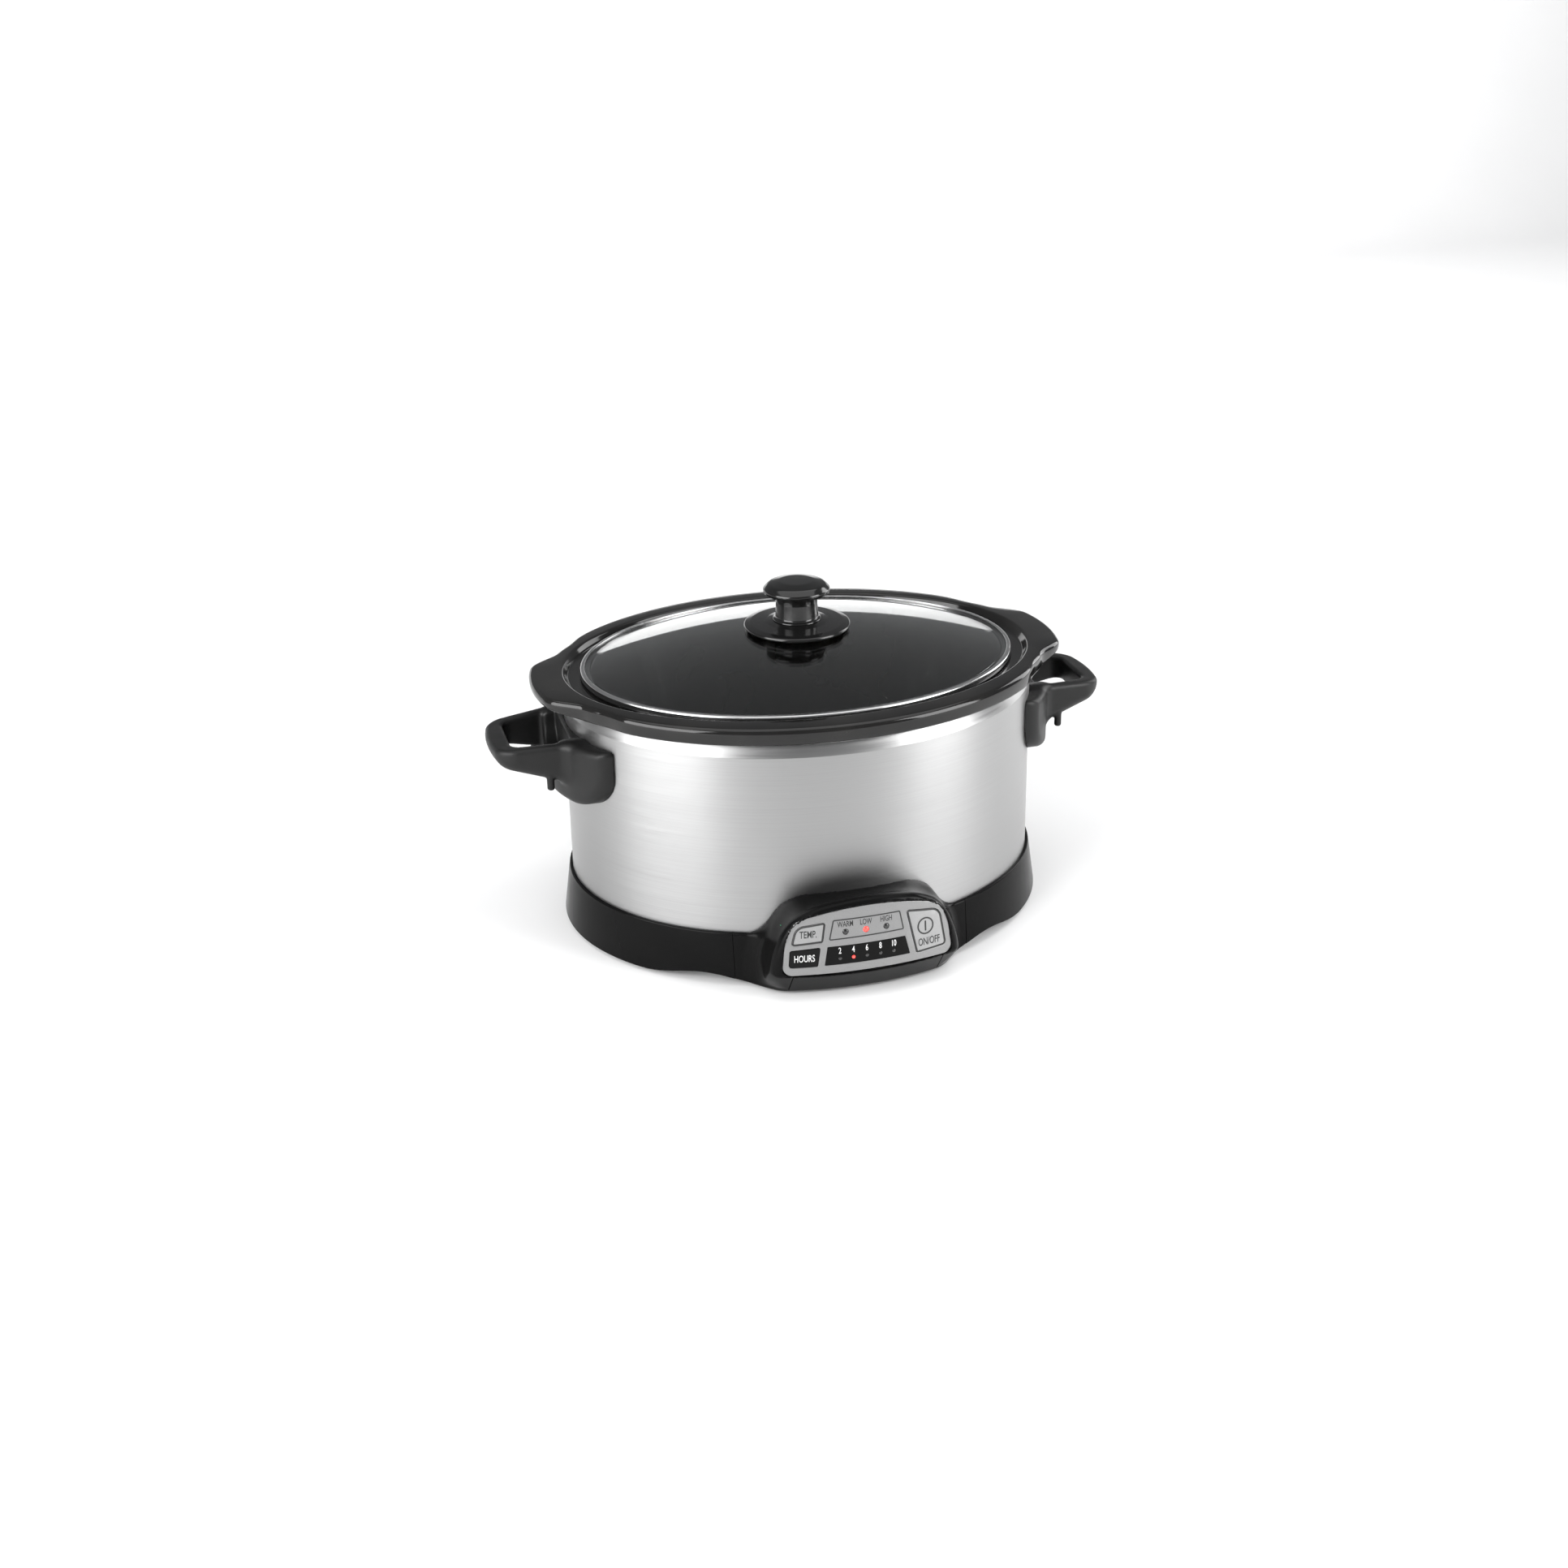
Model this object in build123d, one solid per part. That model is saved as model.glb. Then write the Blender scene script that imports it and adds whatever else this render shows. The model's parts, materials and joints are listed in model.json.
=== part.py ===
from build123d import *
import math
import os

# Oval programmable slow cooker. Millimetres, +Z up, +X along the long axis from
# handle to handle, -Y towards the control panel. Everything is drawn about the
# vertical axis of the oval pot and moved back by POT_Y when it is written, so the
# origin is the centre of the footprint's bounding box, on the surface it stands on.

# ---- driving dimensions ------------------------------------------------------
# heights above the surface
FOOT_Z = 7.0
RING_BOTTOM_Z = 2.0
SHELL_BOTTOM_Z = 25.0
RING_TOP_Z = 34.0
SHOULDER_Z = 148.8
SHELL_TOP_Z = 156.0
LIP_Z = 157.2
RIM_Z = 168.5
LEDGE_Z = 163.2

# half-lengths along X and Y of the oval sections
SHELL_HALF = (150.8, 125.1)
SHELL_TOP_HALF = (147.8, 122.1)
RING_TOP_HALF = (152.9, 127.2)
RING_BOTTOM_HALF = (157.4, 131.0)
RIM_HALF = (160.0, 127.0)
RECESS_TOP_HALF = (150.5, 111.5)
RECESS_FLOOR_HALF = (147.0, 110.2)
EAR_REACH = 169.4

# walls and gaps
SHELL_WALL = 0.8
RING_WALL = 2.6
CROCK_WALL = 7.0
WELL_WALL = 0.8
SLIP_GAP = 0.4

# the pot, well and heater are turned sections stretched into ovals
POT_STRETCH = (1.124, 0.880)
LID_STRETCH = (1.1354, 0.8809)

# control panel: a tilted, slightly convex face
PANEL_Y = -152.0
PANEL_Z = 37.5
PANEL_TILT = 6.0
PANEL_RADIUS = 190.0
FACIA_THICK = 1.2
KEY_GAP = 0.35
KEY_TRAVEL = 0.6
BOARD_DEPTH = 17.6
HOUSING_HALF_WIDTH = 75.0
HOUSING_WALL = 2.6
HOOD_CROWN_HALF = 30.0
HOOD_SHOULDER_Z = 50.0
STRIP_HALF_WIDTH = 47.2
STRIP_TOP_Z = 19.0
LEVEL_LED_X = (-15.2, -2.6, 10.2)
LEVEL_LED_Y = 8.1
HOUR_LED_X = (-19.1, -10.9, -2.5, 6.0, 14.5)
HOUR_LED_Y = -8.5
LED_R = 1.75

# handles
HANDLE_REACH = 199.0
HANDLE_TOP_Z = 139.0
HANDLE_END_TOP_Z = 134.8
HANDLE_PLATE_LOW_Z = 100.0
HANDLE_PLATE_TOP_Z = 139.6
HANDLE_PLATE_CORNER_R = 24.0
HANDLE_PLATE_WIDTH = 120.0
HANDLE_PLATE_REACH = 165.0
HANDLE_PLATE_FACE_R = 84.7
ARM_ROOT_Y = 37.0
ARM_END_Y = 28.5
ARM_THICK = 9.0
HANDLE_SCREW_Y = 31.0
HANDLE_SCREW_Z = 124.0
PEG_R = 2.3
PEG_X = 167.5
PEG_Y = 30.6
PEG_TIP_Z = 107.5
PEG_ROOT_Z = 111.0
PEG_BOSS_R = 3.4
PEG_BOSS_TOP_Z = 118.0

# knob and lid
LID_R = 122.6
GLASS_THICK = 3.4
DOME_RISE = 18.5
SKIRT_R = 33.8
NECK_R = 13.4
CAP_R = 21.4
CAP_TOP_Z = 216.8

# rear cord inlet
INLET_Z = 18.0
INLET_BORE_R = 3.6

# how far the panel and the inlet bush reach from the pot's axis, which puts that axis
# POT_Y behind the middle of the footprint
FRONT_REACH = 154.94
INLET_REACH = 133.9
POT_Y = (FRONT_REACH - INLET_REACH) / 2

os.makedirs("parts", exist_ok=True)


# ---- helpers -----------------------------------------------------------------
def save(node, *solids):
    """Moves solids from the pot's axis to the part's origin and writes one node."""
    placed = [Pos(0, POT_Y, 0) * s for s in solids]
    export_step(placed[0] if len(placed) == 1 else Compound(children=placed), f"parts/{node}.step")


def oval(half, low, high, top_half=None, inset=0.0):
    """Oval block from z = low to z = high, tapering to top_half where that is given."""
    bottom = Pos(0, 0, low) * Ellipse(half[0] - inset, half[1] - inset)
    if top_half is None:
        return extrude(bottom, high - low)
    top = Pos(0, 0, high) * Ellipse(top_half[0] - inset, top_half[1] - inset)
    return loft([bottom, top], ruled=True)


def turned(wire, stretch=POT_STRETCH):
    """Section in X-Z turned about Z, then stretched into an oval."""
    round_solid = revolve(make_face(wire), Axis.Z)
    return scale(round_solid, by=(stretch[0], stretch[1], 1))


def section(*points):
    """Closed polygon in the X-Z plane."""
    return Plane.XZ * Polyline(*points, close=True)


def drilled(solid, *cutters):
    for cutter in cutters:
        solid = solid - cutter
    return solid


def largest(shape):
    return shape.solids().sort_by(SortBy.VOLUME)[-1]


def prism_x(points, low, high):
    """Outline of (y, z) points, extruded along X from low to high."""
    face = Plane.YZ * make_face(Polyline(*points, close=True))
    return Pos(low, 0, 0) * extrude(face, high - low)


def prism_y(points, low, high):
    """Outline of (x, z) points, extruded along Y from low to high."""
    face = Plane.XZ * make_face(Polyline(*points, close=True))
    return Pos(0, high, 0) * extrude(face, high - low)


def rod(radius, low, high, x=0.0, y=0.0):
    return Pos(x, y, (low + high) / 2) * Cylinder(radius, high - low)


def rod_x(radius, low, high, y, z):
    return Pos((low + high) / 2, y, z) * Rot(0, 90, 0) * Cylinder(radius, abs(high - low))


def panel_frame():
    """X across, Y up the panel's face, Z outwards, at the middle of its outer surface."""
    normal = (0, -math.cos(math.radians(PANEL_TILT)), math.sin(math.radians(PANEL_TILT)))
    return Plane(origin=(0, PANEL_Y, PANEL_Z), x_dir=(1, 0, 0), z_dir=normal)


def panel_skin(outer, thick, half_height=60.0):
    """Part of a tube about the panel's own upright axis, in panel coordinates."""
    radius = PANEL_RADIUS + outer
    tube = Cylinder(radius, 2 * half_height)
    if thick is not None:
        tube = tube - Cylinder(radius - thick, 3 * half_height)
    return Pos(0, 0, -PANEL_RADIUS) * Rot(90, 0, 0) * tube


def panel_block(outline, low, high):
    """A panel-plane sketch given thickness from depth low to depth high."""
    return Pos(0, 0, low) * extrude(outline, high - low)


def on_panel(solid):
    return panel_frame().location * solid


# ---- panel outlines, in panel coordinates --------------------------------------
def facia_outline(grow=0.0):
    side = Line((54.0, -17.5), (50.6, 9.0))
    arch = ThreePointArc((44.0, 17.0), (0, 23.4), (-44.0, 17.0))
    other = Line((-50.6, 9.0), (-54.0, -17.5))
    wire = Polyline((-54.0, -17.5), (54.0, -17.5)) + side + Line(side @ 1, arch @ 0) + arch
    wire += Line(arch @ 1, other @ 0) + other
    face = make_face(wire)
    corners = face.vertices().sort_by(Axis.Y)
    face = fillet(corners[:2], 5.5)
    face = fillet(face.vertices().sort_by(Axis.Y)[-4:], 6.0)
    return offset(face, grow) if grow else face


def key_outline(points, radii):
    """Polygon whose corners are rounded by the matching radius."""
    face = make_face(Polyline(*points, close=True))
    for point, radius in zip(points, radii):
        corner = face.vertices().sort_by_distance((point[0], point[1], 0))[0]
        face = fillet(corner, radius)
    return face


KEY_OUTLINES = {
    "temp_key": (
        ((-47.6, 1.8), (-29.3, 3.0), (-27.4, 15.0), (-44.5, 13.2)),
        (1.5, 1.0, 1.0, 5.0),
    ),
    "hours_key": (
        ((-49.4, -12.2), (-32.8, -12.2), (-30.9, -0.8), (-48.4, -1.8)),
        (1.5, 1.0, 1.0, 1.0),
    ),
    "power_key": (
        ((29.5, -12.6), (49.4, -11.4), (45.6, 12.6), (23.6, 15.6)),
        (1.0, 2.0, 6.0, 1.0),
    ),
}
KEY_CENTRES = {"temp_key": (-37.5, 8.3), "hours_key": (-40.5, -6.8), "power_key": (36.5, 1.5)}
HOUR_WINDOW = ((-28.5, -12.3), (24.9, -12.2), (22.1, -0.4), (-26.4, -0.6))


# ---- lid -----------------------------------------------------------------------
def dome_arc(rise_from, edge_r, rise):
    middle = (0.52 * edge_r, rise_from + 0.737 * rise)
    return ThreePointArc((edge_r, rise_from), middle, (0, rise_from + rise))


def lid_parts():
    low = LEDGE_Z + SLIP_GAP
    glass_low = low + 0.8
    glass_top = glass_low + GLASS_THICK
    glass_r = LID_R - 0.8
    dome_r = 117.0
    under_r = 115.4
    outer = Polyline((glass_r, glass_low), (glass_r, glass_top), (dome_r, glass_top))
    outer += dome_arc(glass_top, dome_r, DOME_RISE)
    inner = Line((0, glass_top + DOME_RISE), (0, glass_low + DOME_RISE))
    inner += dome_arc(glass_low, under_r, DOME_RISE)
    inner += Line((under_r, glass_low), (glass_r, glass_low))
    glass = turned(Plane.XZ * (outer + inner), LID_STRETCH) - rod(3.2, 150, 220)
    save("lid_glass", glass)

    band = section(
        (LID_R, low),
        (LID_R, glass_top + 0.8),
        (LID_R - 3.4, glass_top + 0.8),
        (LID_R - 3.4, glass_top),
        (glass_r, glass_top),
        (glass_r, glass_low),
        (LID_R - 3.4, glass_low),
        (LID_R - 3.4, low),
    )
    save("lid_rim_band", turned(band, LID_STRETCH))

    apex = glass_top + DOME_RISE
    under = glass_low + DOME_RISE
    save("knob_gasket", rod(13.0, apex, apex + 1.0) - rod(3.4, apex - 1, apex + 2))
    skirt_low = apex + 1.0
    underside = [(0, skirt_low), (16.0, skirt_low), (20.0, skirt_low - 0.4), (31.2, skirt_low - 1.6)]
    skirt_wire = Polyline(*underside)
    skirt_wire += ThreePointArc((31.2, skirt_low - 1.6), (SKIRT_R, skirt_low), (32.0, skirt_low + 2.2))
    skirt_wire += Spline((32.0, skirt_low + 2.2), (24.0, skirt_low + 2.6), (15.0, skirt_low + 3.8))
    skirt_wire += Polyline((15.0, skirt_low + 3.8), (0, skirt_low + 3.8), (0, skirt_low))
    skirt = revolve(make_face(Plane.XZ * skirt_wire), Axis.Z) - rod(3.4, 150, 220)
    save("knob_skirt", skirt)

    neck_low = skirt_low + 3.8
    cap_low = CAP_TOP_Z - 9.2
    edge_z = CAP_TOP_Z - 6.2
    knob_wire = Polyline((0, CAP_TOP_Z), (0, neck_low), (15.2, neck_low))
    knob_wire += Spline((15.2, neck_low), (NECK_R, neck_low + 4), (NECK_R, cap_low - 4), (16.2, cap_low))
    knob_wire += ThreePointArc((16.2, cap_low), (20.4, cap_low + 1.0), (CAP_R, edge_z))
    knob_wire += Spline((CAP_R, edge_z), (18.2, edge_z + 3.8), (9.5, CAP_TOP_Z - 0.7), (0, CAP_TOP_Z))
    knob = revolve(make_face(Plane.XZ * knob_wire), Axis.Z) - rod(2.05, 150, CAP_TOP_Z - 6)
    save("lid_knob", knob)

    save("knob_washer", rod(8.0, under - 0.9, under - 0.1) - rod(2.2, 150, 220))
    head = rod(4.6, under - 3.4, under - 0.9)
    slot = Pos(0, 0, under - 3.0) * Box(6.5, 1.1, 1.4)
    save("knob_screw", head + rod(2.0, under - 0.9, CAP_TOP_Z - 7) - slot)


# ---- crock -----------------------------------------------------------------------
def rim_outline():
    """Oval with a broad rounded ear at each end."""
    join_x = 125.0
    join_y = RIM_HALF[1] * math.sqrt(1 - (join_x / RIM_HALF[0]) ** 2)
    slope = Vector(1, -join_x / join_y * (RIM_HALF[1] / RIM_HALF[0]) ** 2)
    half_ear = [(137.0, 62.5), (147.0, 50.0), (157.0, 39.5), (162.8, 34.0), (166.4, 26.0), (168.6, 14.0)]
    right = [(join_x, join_y)] + half_ear + [(EAR_REACH, 0)]
    right += [(x, -y) for x, y in reversed(half_ear)] + [(join_x, -join_y)]
    left = [(-x, -y) for x, y in right]
    ear_right = Spline(*right, tangents=[slope, Vector(-slope.X, slope.Y)])
    ear_left = Spline(*left, tangents=[-slope, Vector(slope.X, -slope.Y)])
    start = math.degrees(math.atan2(join_y / RIM_HALF[1], join_x / RIM_HALF[0]))
    back = EllipticalCenterArc((0, 0), *RIM_HALF, start_angle=start, arc_size=180 - 2 * start)
    front = EllipticalCenterArc((0, 0), *RIM_HALF, start_angle=180 + start, arc_size=180 - 2 * start)
    return make_face(ear_right + front + ear_left + back)


def crock():
    slab = extrude(Pos(0, 0, LIP_Z) * rim_outline(), RIM_Z - LIP_Z)
    slab = fillet(slab.edges().group_by(Axis.Z)[-1], 2.6)
    slab = fillet(slab.edges().group_by(Axis.Z)[0], 1.2)
    for side in (1, -1):
        # the ear's underside rises towards its tip
        under = [(152, LIP_Z - 1), (152, LIP_Z), (172, LIP_Z + 4.2), (172, LIP_Z - 1)]
        slab = slab - prism_y([(side * x, z) for x, z in under], -60, 60)
    top_r = 125.0
    base_r = 114.0
    outer = Polyline((0, 40), (98, 40))
    outer += ThreePointArc((98, 40), (109.5, 44.5), (base_r, 56))
    outer += Polyline((base_r, 56), (top_r, LIP_Z + 2), (0, LIP_Z + 2), (0, 40))
    floor_z = 48.0
    inner_top = top_r - CROCK_WALL
    inner_base = base_r - CROCK_WALL
    inner = Polyline((0, floor_z), (84, floor_z))
    inner += ThreePointArc((84, floor_z), (100.5, 54.8), (inner_base, 71))
    inner += Polyline((inner_base, 71), (inner_top, RIM_Z), (0, RIM_Z), (0, floor_z))
    recess = oval(RECESS_FLOOR_HALF, LEDGE_Z, RIM_Z + 0.01, RECESS_TOP_HALF)
    body = slab + turned(Plane.XZ * outer)
    body = body - recess - turned(Plane.XZ * inner)
    save("crock", body)


# ---- housing: shell, well, heater --------------------------------------------------
def shell_solid(inset=0.0, low=SHELL_BOTTOM_Z, high=SHELL_TOP_Z):
    wall = oval(SHELL_HALF, low, SHOULDER_Z, inset=inset)
    shoulder = oval(SHELL_HALF, SHOULDER_Z, high, SHELL_TOP_HALF, inset)
    return wall + shoulder


def housing_parts():
    hollow = oval(SHELL_HALF, SHELL_BOTTOM_Z - 1, SHOULDER_Z - 0.3, inset=SHELL_WALL)
    hollow += oval(SHELL_HALF, SHOULDER_Z - 0.3, SHELL_TOP_Z + 1, SHELL_TOP_HALF, SHELL_WALL)
    shell = shell_solid() - hollow
    holes = [
        rod_x(2.4, side * 130, side * 160, y, HANDLE_SCREW_Z)
        for side in (1, -1)
        for y in (-HANDLE_SCREW_Y, HANDLE_SCREW_Y)
    ]
    save("outer_shell", drilled(shell, *holes))

    # heating well: a pan hung by its flange on the shell's rolled top edge
    flange_z = SHELL_TOP_Z
    top_r = 128.6
    base_r = 117.4
    low = 34.0
    wall = WELL_WALL
    pan = Polyline((0, low), (101, low))
    pan += ThreePointArc((101, low), (112.5, 38.5), (base_r, 50))
    mouth_z = flange_z + wall
    pan += Polyline((base_r, 50), (top_r, mouth_z), (top_r - wall, mouth_z), (base_r - wall, 50))
    pan += ThreePointArc((base_r - wall, 50), (112.0, 39.0), (101, low + wall))
    pan += Polyline((101, low + wall), (0, low + wall), (0, low))
    flange = oval(SHELL_TOP_HALF, flange_z, mouth_z)
    throat = oval(((top_r - 0.4) * POT_STRETCH[0], (top_r - 0.4) * POT_STRETCH[1]), 150, 160)
    well = turned(Plane.XZ * pan) + (flange - throat)
    sensor_hole = rod(4.2, 30, 38, 0, -38)
    save("heating_well", well - sensor_hole)

    def cone(radius_gap, thick, z_low, z_high):
        slope = (top_r - base_r) / (mouth_z - 50)
        r_low = base_r + slope * (z_low - 50) + radius_gap
        r_high = base_r + slope * (z_high - 50) + radius_gap
        ring = section((r_low, z_low), (r_low + thick, z_low), (r_high + thick, z_high), (r_high, z_high))
        return turned(ring)

    slit = Pos(0, 100, 80) * Box(9, 60, 80)
    save("heater_band", cone(0.4, 1.8, 62, 98) - slit)
    lead_gap = Pos(0, 100, 80) * Box(32, 60, 80)
    save("insulation_sleeve", cone(3.4, 3.2, 54, 112) - lead_gap)
    save("band_clamp", Pos(0, 109.7, 80) * (Box(26, 1.2, 12) + Pos(0, 1.0, 0) * Box(8, 1.0, 6)))


def heater_leads():
    """Two insulated leads from the heater band's ends down to the power board."""
    leads = []
    for side in (1, -1):
        route = [
            (side * 9, 110.6, 66),
            (side * 10, 111.5, 48),
            (side * 13, 110.0, 34),
            (side * 17, 98.0, 26),
            (side * 20, 84.0, 24),
        ]
        radii = corner_radii(route)
        path = FilletPolyline(*route, radius=radii)
        start = Plane(origin=route[0], z_dir=Vector(*route[1]) - Vector(*route[0]))
        leads.append(sweep(start * Circle(1.3), path=path))
    save("heater_leads", *leads)


def corner_radii(route):
    """Largest easy arc at each corner: 0.45 of the shorter run over tan(half the turn)."""
    radii = []
    for a, b, c in zip(route, route[1:], route[2:]):
        before = Vector(*b) - Vector(*a)
        after = Vector(*c) - Vector(*b)
        turn = math.radians(before.get_angle(after))
        radii.append(0.45 * min(before.length, after.length) / math.tan(turn / 2))
    return radii


# ---- base --------------------------------------------------------------------------
def ring_solid(inset=0.0, low=RING_BOTTOM_Z, high=RING_TOP_Z):
    return oval(RING_BOTTOM_HALF, low, high, RING_TOP_HALF, inset)


def arch_cutter():
    """Shallow arches under the ring between the feet and the control housing."""
    cutters = []
    for side in (1, -1):
        arc = ThreePointArc((side * 61, 1.9), (side * 92, 7.2), (side * 124, 1.9))
        face = make_face(arc + Polyline(arc @ 1, (side * 124, 0), (side * 61, 0), arc @ 0))
        cutters.append(Pos(0, 160, 0) * extrude(Plane.XZ * face, 320))
    return cutters


def foot_places():
    return [(x, y) for x in (-122, 122) for y in (-50, 50)]


def boss_places():
    return [(x, y) for x in (-113, 113) for y in (-70, 70)]


def ring_wall():
    return ring_solid() - ring_solid(RING_WALL, RING_BOTTOM_Z - 0.01, RING_TOP_Z + 0.01)


def front_window(half_width):
    return Pos(0, -120, 20) * Box(2 * half_width, 90, 60)


def ledge_solid():
    """Inner step of the ring that the shell's lower edge stands on."""
    step = ring_solid(1.0) & (Pos(0, 0, SHELL_BOTTOM_Z - 1.75) * Box(400, 400, 3.5))
    return step - oval((141.0, 115.0), 20, 30)


def base_parts():
    pilots = [rod(1.4, FOOT_Z, 19.0, x, y) for x, y in boss_places()]
    ring = ring_wall() + ledge_solid() - front_window(HOUSING_HALF_WIDTH + 0.15)
    ring = drilled(ring, *arch_cutter())
    for x, y in boss_places():
        ring = ring + rod(4.5, FOOT_Z + 1.6, 22.5, x, y)
    inlet = Pos(0, 128, INLET_Z) * Rot(90, 0, 0) * Cylinder(7.0, 30)
    save("base_ring", drilled(ring, *pilots) - inlet)

    # snap-in bush of the rear cord inlet
    bush = Rot(90, 0, 0) * (Cylinder(6.9, 14) + Pos(0, 0, -6.5) * Cylinder(9.0, 2.4))
    bush = Pos(0, INLET_REACH - 7.7, INLET_Z) * bush
    bore = Pos(0, INLET_REACH - 7.7, INLET_Z) * Rot(90, 0, 0) * Cylinder(INLET_BORE_R, 30)
    save("cord_inlet_bush", bush - bore - (ring_wall() - inlet))

    plate = oval((151.0, 124.0), FOOT_Z - 0.4, FOOT_Z + 1.6)
    holes = [rod(1.9, 0, 12, x, y) for x, y in boss_places()]
    foot_holes = [rod(3.0, 0, 12, x, y) for x, y in foot_places()]
    vents = []
    for row in range(-3, 4):
        for side in (1, -1):
            vents.append(Pos(side * 58, row * 11 + 4, 8) * Box(34, 3.6, 8))
    posts = [rod(3.0, FOOT_Z + 1.6, 12.0, x, y) for x, y in power_board_corners()]
    front_cut = Pos(0, -147.0, 7) * Box(190, 66, 6)
    plate = plate - front_cut - rod(2.9, 0, 12)
    plate = drilled(plate, *holes, *foot_holes, *vents)
    for post in posts:
        plate = plate + post
    plate = drilled(plate, *[rod(1.2, FOOT_Z, 13, x, y) for x, y in power_board_corners()])
    save("bottom_plate", plate)

    feet = []
    for x, y in foot_places():
        pad = Pos(x, y, 0) * Cone(9.0, 7.6, FOOT_Z - 0.4, align=(Align.CENTER, Align.CENTER, Align.MIN))
        plug = rod(2.9, FOOT_Z - 0.4, FOOT_Z + 1.6, x, y) + rod(4.2, FOOT_Z + 1.6, FOOT_Z + 3.4, x, y)
        feet.append(pad + plug)
    save("feet", *feet)

    screws = []
    for x, y in boss_places():
        head = rod(3.4, FOOT_Z - 2.4, FOOT_Z - 0.4, x, y)
        cross = Pos(x, y, FOOT_Z - 2.2) * (Box(3.6, 0.8, 1.4) + Box(0.8, 3.6, 1.4))
        screws.append(head + rod(1.35, FOOT_Z - 0.4, 17.5, x, y) - cross)
    save("base_screws", *screws)

    save("centre_stud", rod(2.5, 3.2, 34.0) + rod(7.0, 33.0, 34.0))
    save("stud_washer", rod(6.0, 5.8, 6.6) - rod(2.6, 0, 12))
    nut = extrude(Pos(0, 0, 3.4) * RegularPolygon(4.6, 6), 2.4)
    save("stud_nut", nut - rod(2.55, 0, 12))

    shield = oval((118.0, 90.0), 29.4, 30.0) - rod(3.2, 20, 40) - rod(6.5, 20, 40, 0, -38)
    save("heat_shield", shield)


# ---- electrics -----------------------------------------------------------------------
def power_board_corners():
    return [(x, y) for x in (-38, 38) for y in (34, 82)]


def electric_parts():
    board_z = 12.0
    board = Pos(0, 58, board_z + 0.8) * Box(88, 58, 1.6)
    board = drilled(board, *[rod(1.6, 5, 20, x, y) for x, y in power_board_corners()])
    save("power_board", board)
    screws = []
    for x, y in power_board_corners():
        screws.append(rod(2.6, board_z + 1.6, board_z + 3.2, x, y) + rod(1.15, 9.2, board_z + 1.6, x, y))
    save("board_screws", *screws)

    top = board_z + 1.6
    relay = fillet((Pos(-16, 50, top + 7.5) * Box(20, 16, 15)).edges().group_by(Axis.Z)[-1], 1.0)
    save("relay", relay)
    core = Pos(16, 46, top + 7.0) * Box(24, 20, 9)
    winding = Pos(16, 46, top + 7.0) * Box(13, 26, 14)
    save("transformer", core + winding)
    save("film_capacitor", Pos(-16, 68, top + 5.5) * Box(18, 8, 11))
    terminals = [Pos(x, 80, top + 3.5) * Box(7, 6, 7) for x in (-20, 20)]
    save("terminal_block", *terminals)

    # thermal fuse in its clip and the temperature sensor, both on the well's floor
    fuse = Pos(-30, -20, 32.6) * Rot(0, 90, 0) * Cylinder(1.3, 14)
    save("thermal_fuse", fuse)
    channel = Pos(0, 0, 0.7) * Box(7, 3.2, 3.8)
    clip = Pos(-30, -20, 32.4) * (Box(6, 9, 3.1) - channel)
    save("fuse_clip", clip)
    save("temperature_sensor", rod(4.0, 31.4, 39.0, 0, -38) + rod(7.0, 32.6, 33.9, 0, -38))

    # ribbon cable from the power board to the control board, a flat strip bent in Y-Z
    middle = FilletPolyline((28.0, 16.0), (-110.0, 16.0), (-131.0, 26.0), radius=12.0)
    strip = offset(middle, 0.5, kind=Kind.INTERSECTION, side=Side.BOTH)
    save("ribbon_cable", Pos(-30, 0, 0) * extrude(Plane.YZ * make_face(strip), 16))


# ---- control panel -------------------------------------------------------------------
def hood_section(y, right_half, shrink):
    """Outline at depth y from its right half, listed upwards; the wall is taken off by shrink."""
    low = RING_BOTTOM_Z - (1 if shrink else 0)
    right = [(right_half[0][0] - shrink, low)]
    for x, z in right_half:
        in_x = shrink if x > HOOD_CROWN_HALF else 0
        in_z = shrink if z > HOOD_SHOULDER_Z else 0
        right.append((x - in_x, z - in_z))
    left = [(-x, z) for x, z in reversed(right)]
    return Plane.XZ.offset(-y) * make_face(Polyline(*right, *left, close=True))


def hood_solid(shrink=0.0):
    """Bulge that carries the panel, growing out of the base ring and the shell's front."""
    sections = (
        (-160, ((58, 22), (54, 48), (43, 58.5), (20, 64))),
        (-134, ((61, 23), (57, 45), (44, 59.5), (20, 63.5))),
        (-112, ((74, 25), (66, 38), (44, 58.5), (20, 61))),
    )
    solid = loft([hood_section(y, half, shrink) for y, half in sections], ruled=True)
    solid = solid & on_panel(panel_skin(1.0 - shrink, None, 80.0))
    # undercut below the facia, from the foot of the housing forward and up
    inward = 0.8 * shrink
    undercut = [
        (-141.6 + inward, RING_BOTTOM_Z - 2),
        (-141.6 + inward, RING_BOTTOM_Z),
        (-155.4 + inward, 19.6),
        (-175, 19.6),
        (-175, 0),
    ]
    return solid - prism_x(undercut, -90, 90)


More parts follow.
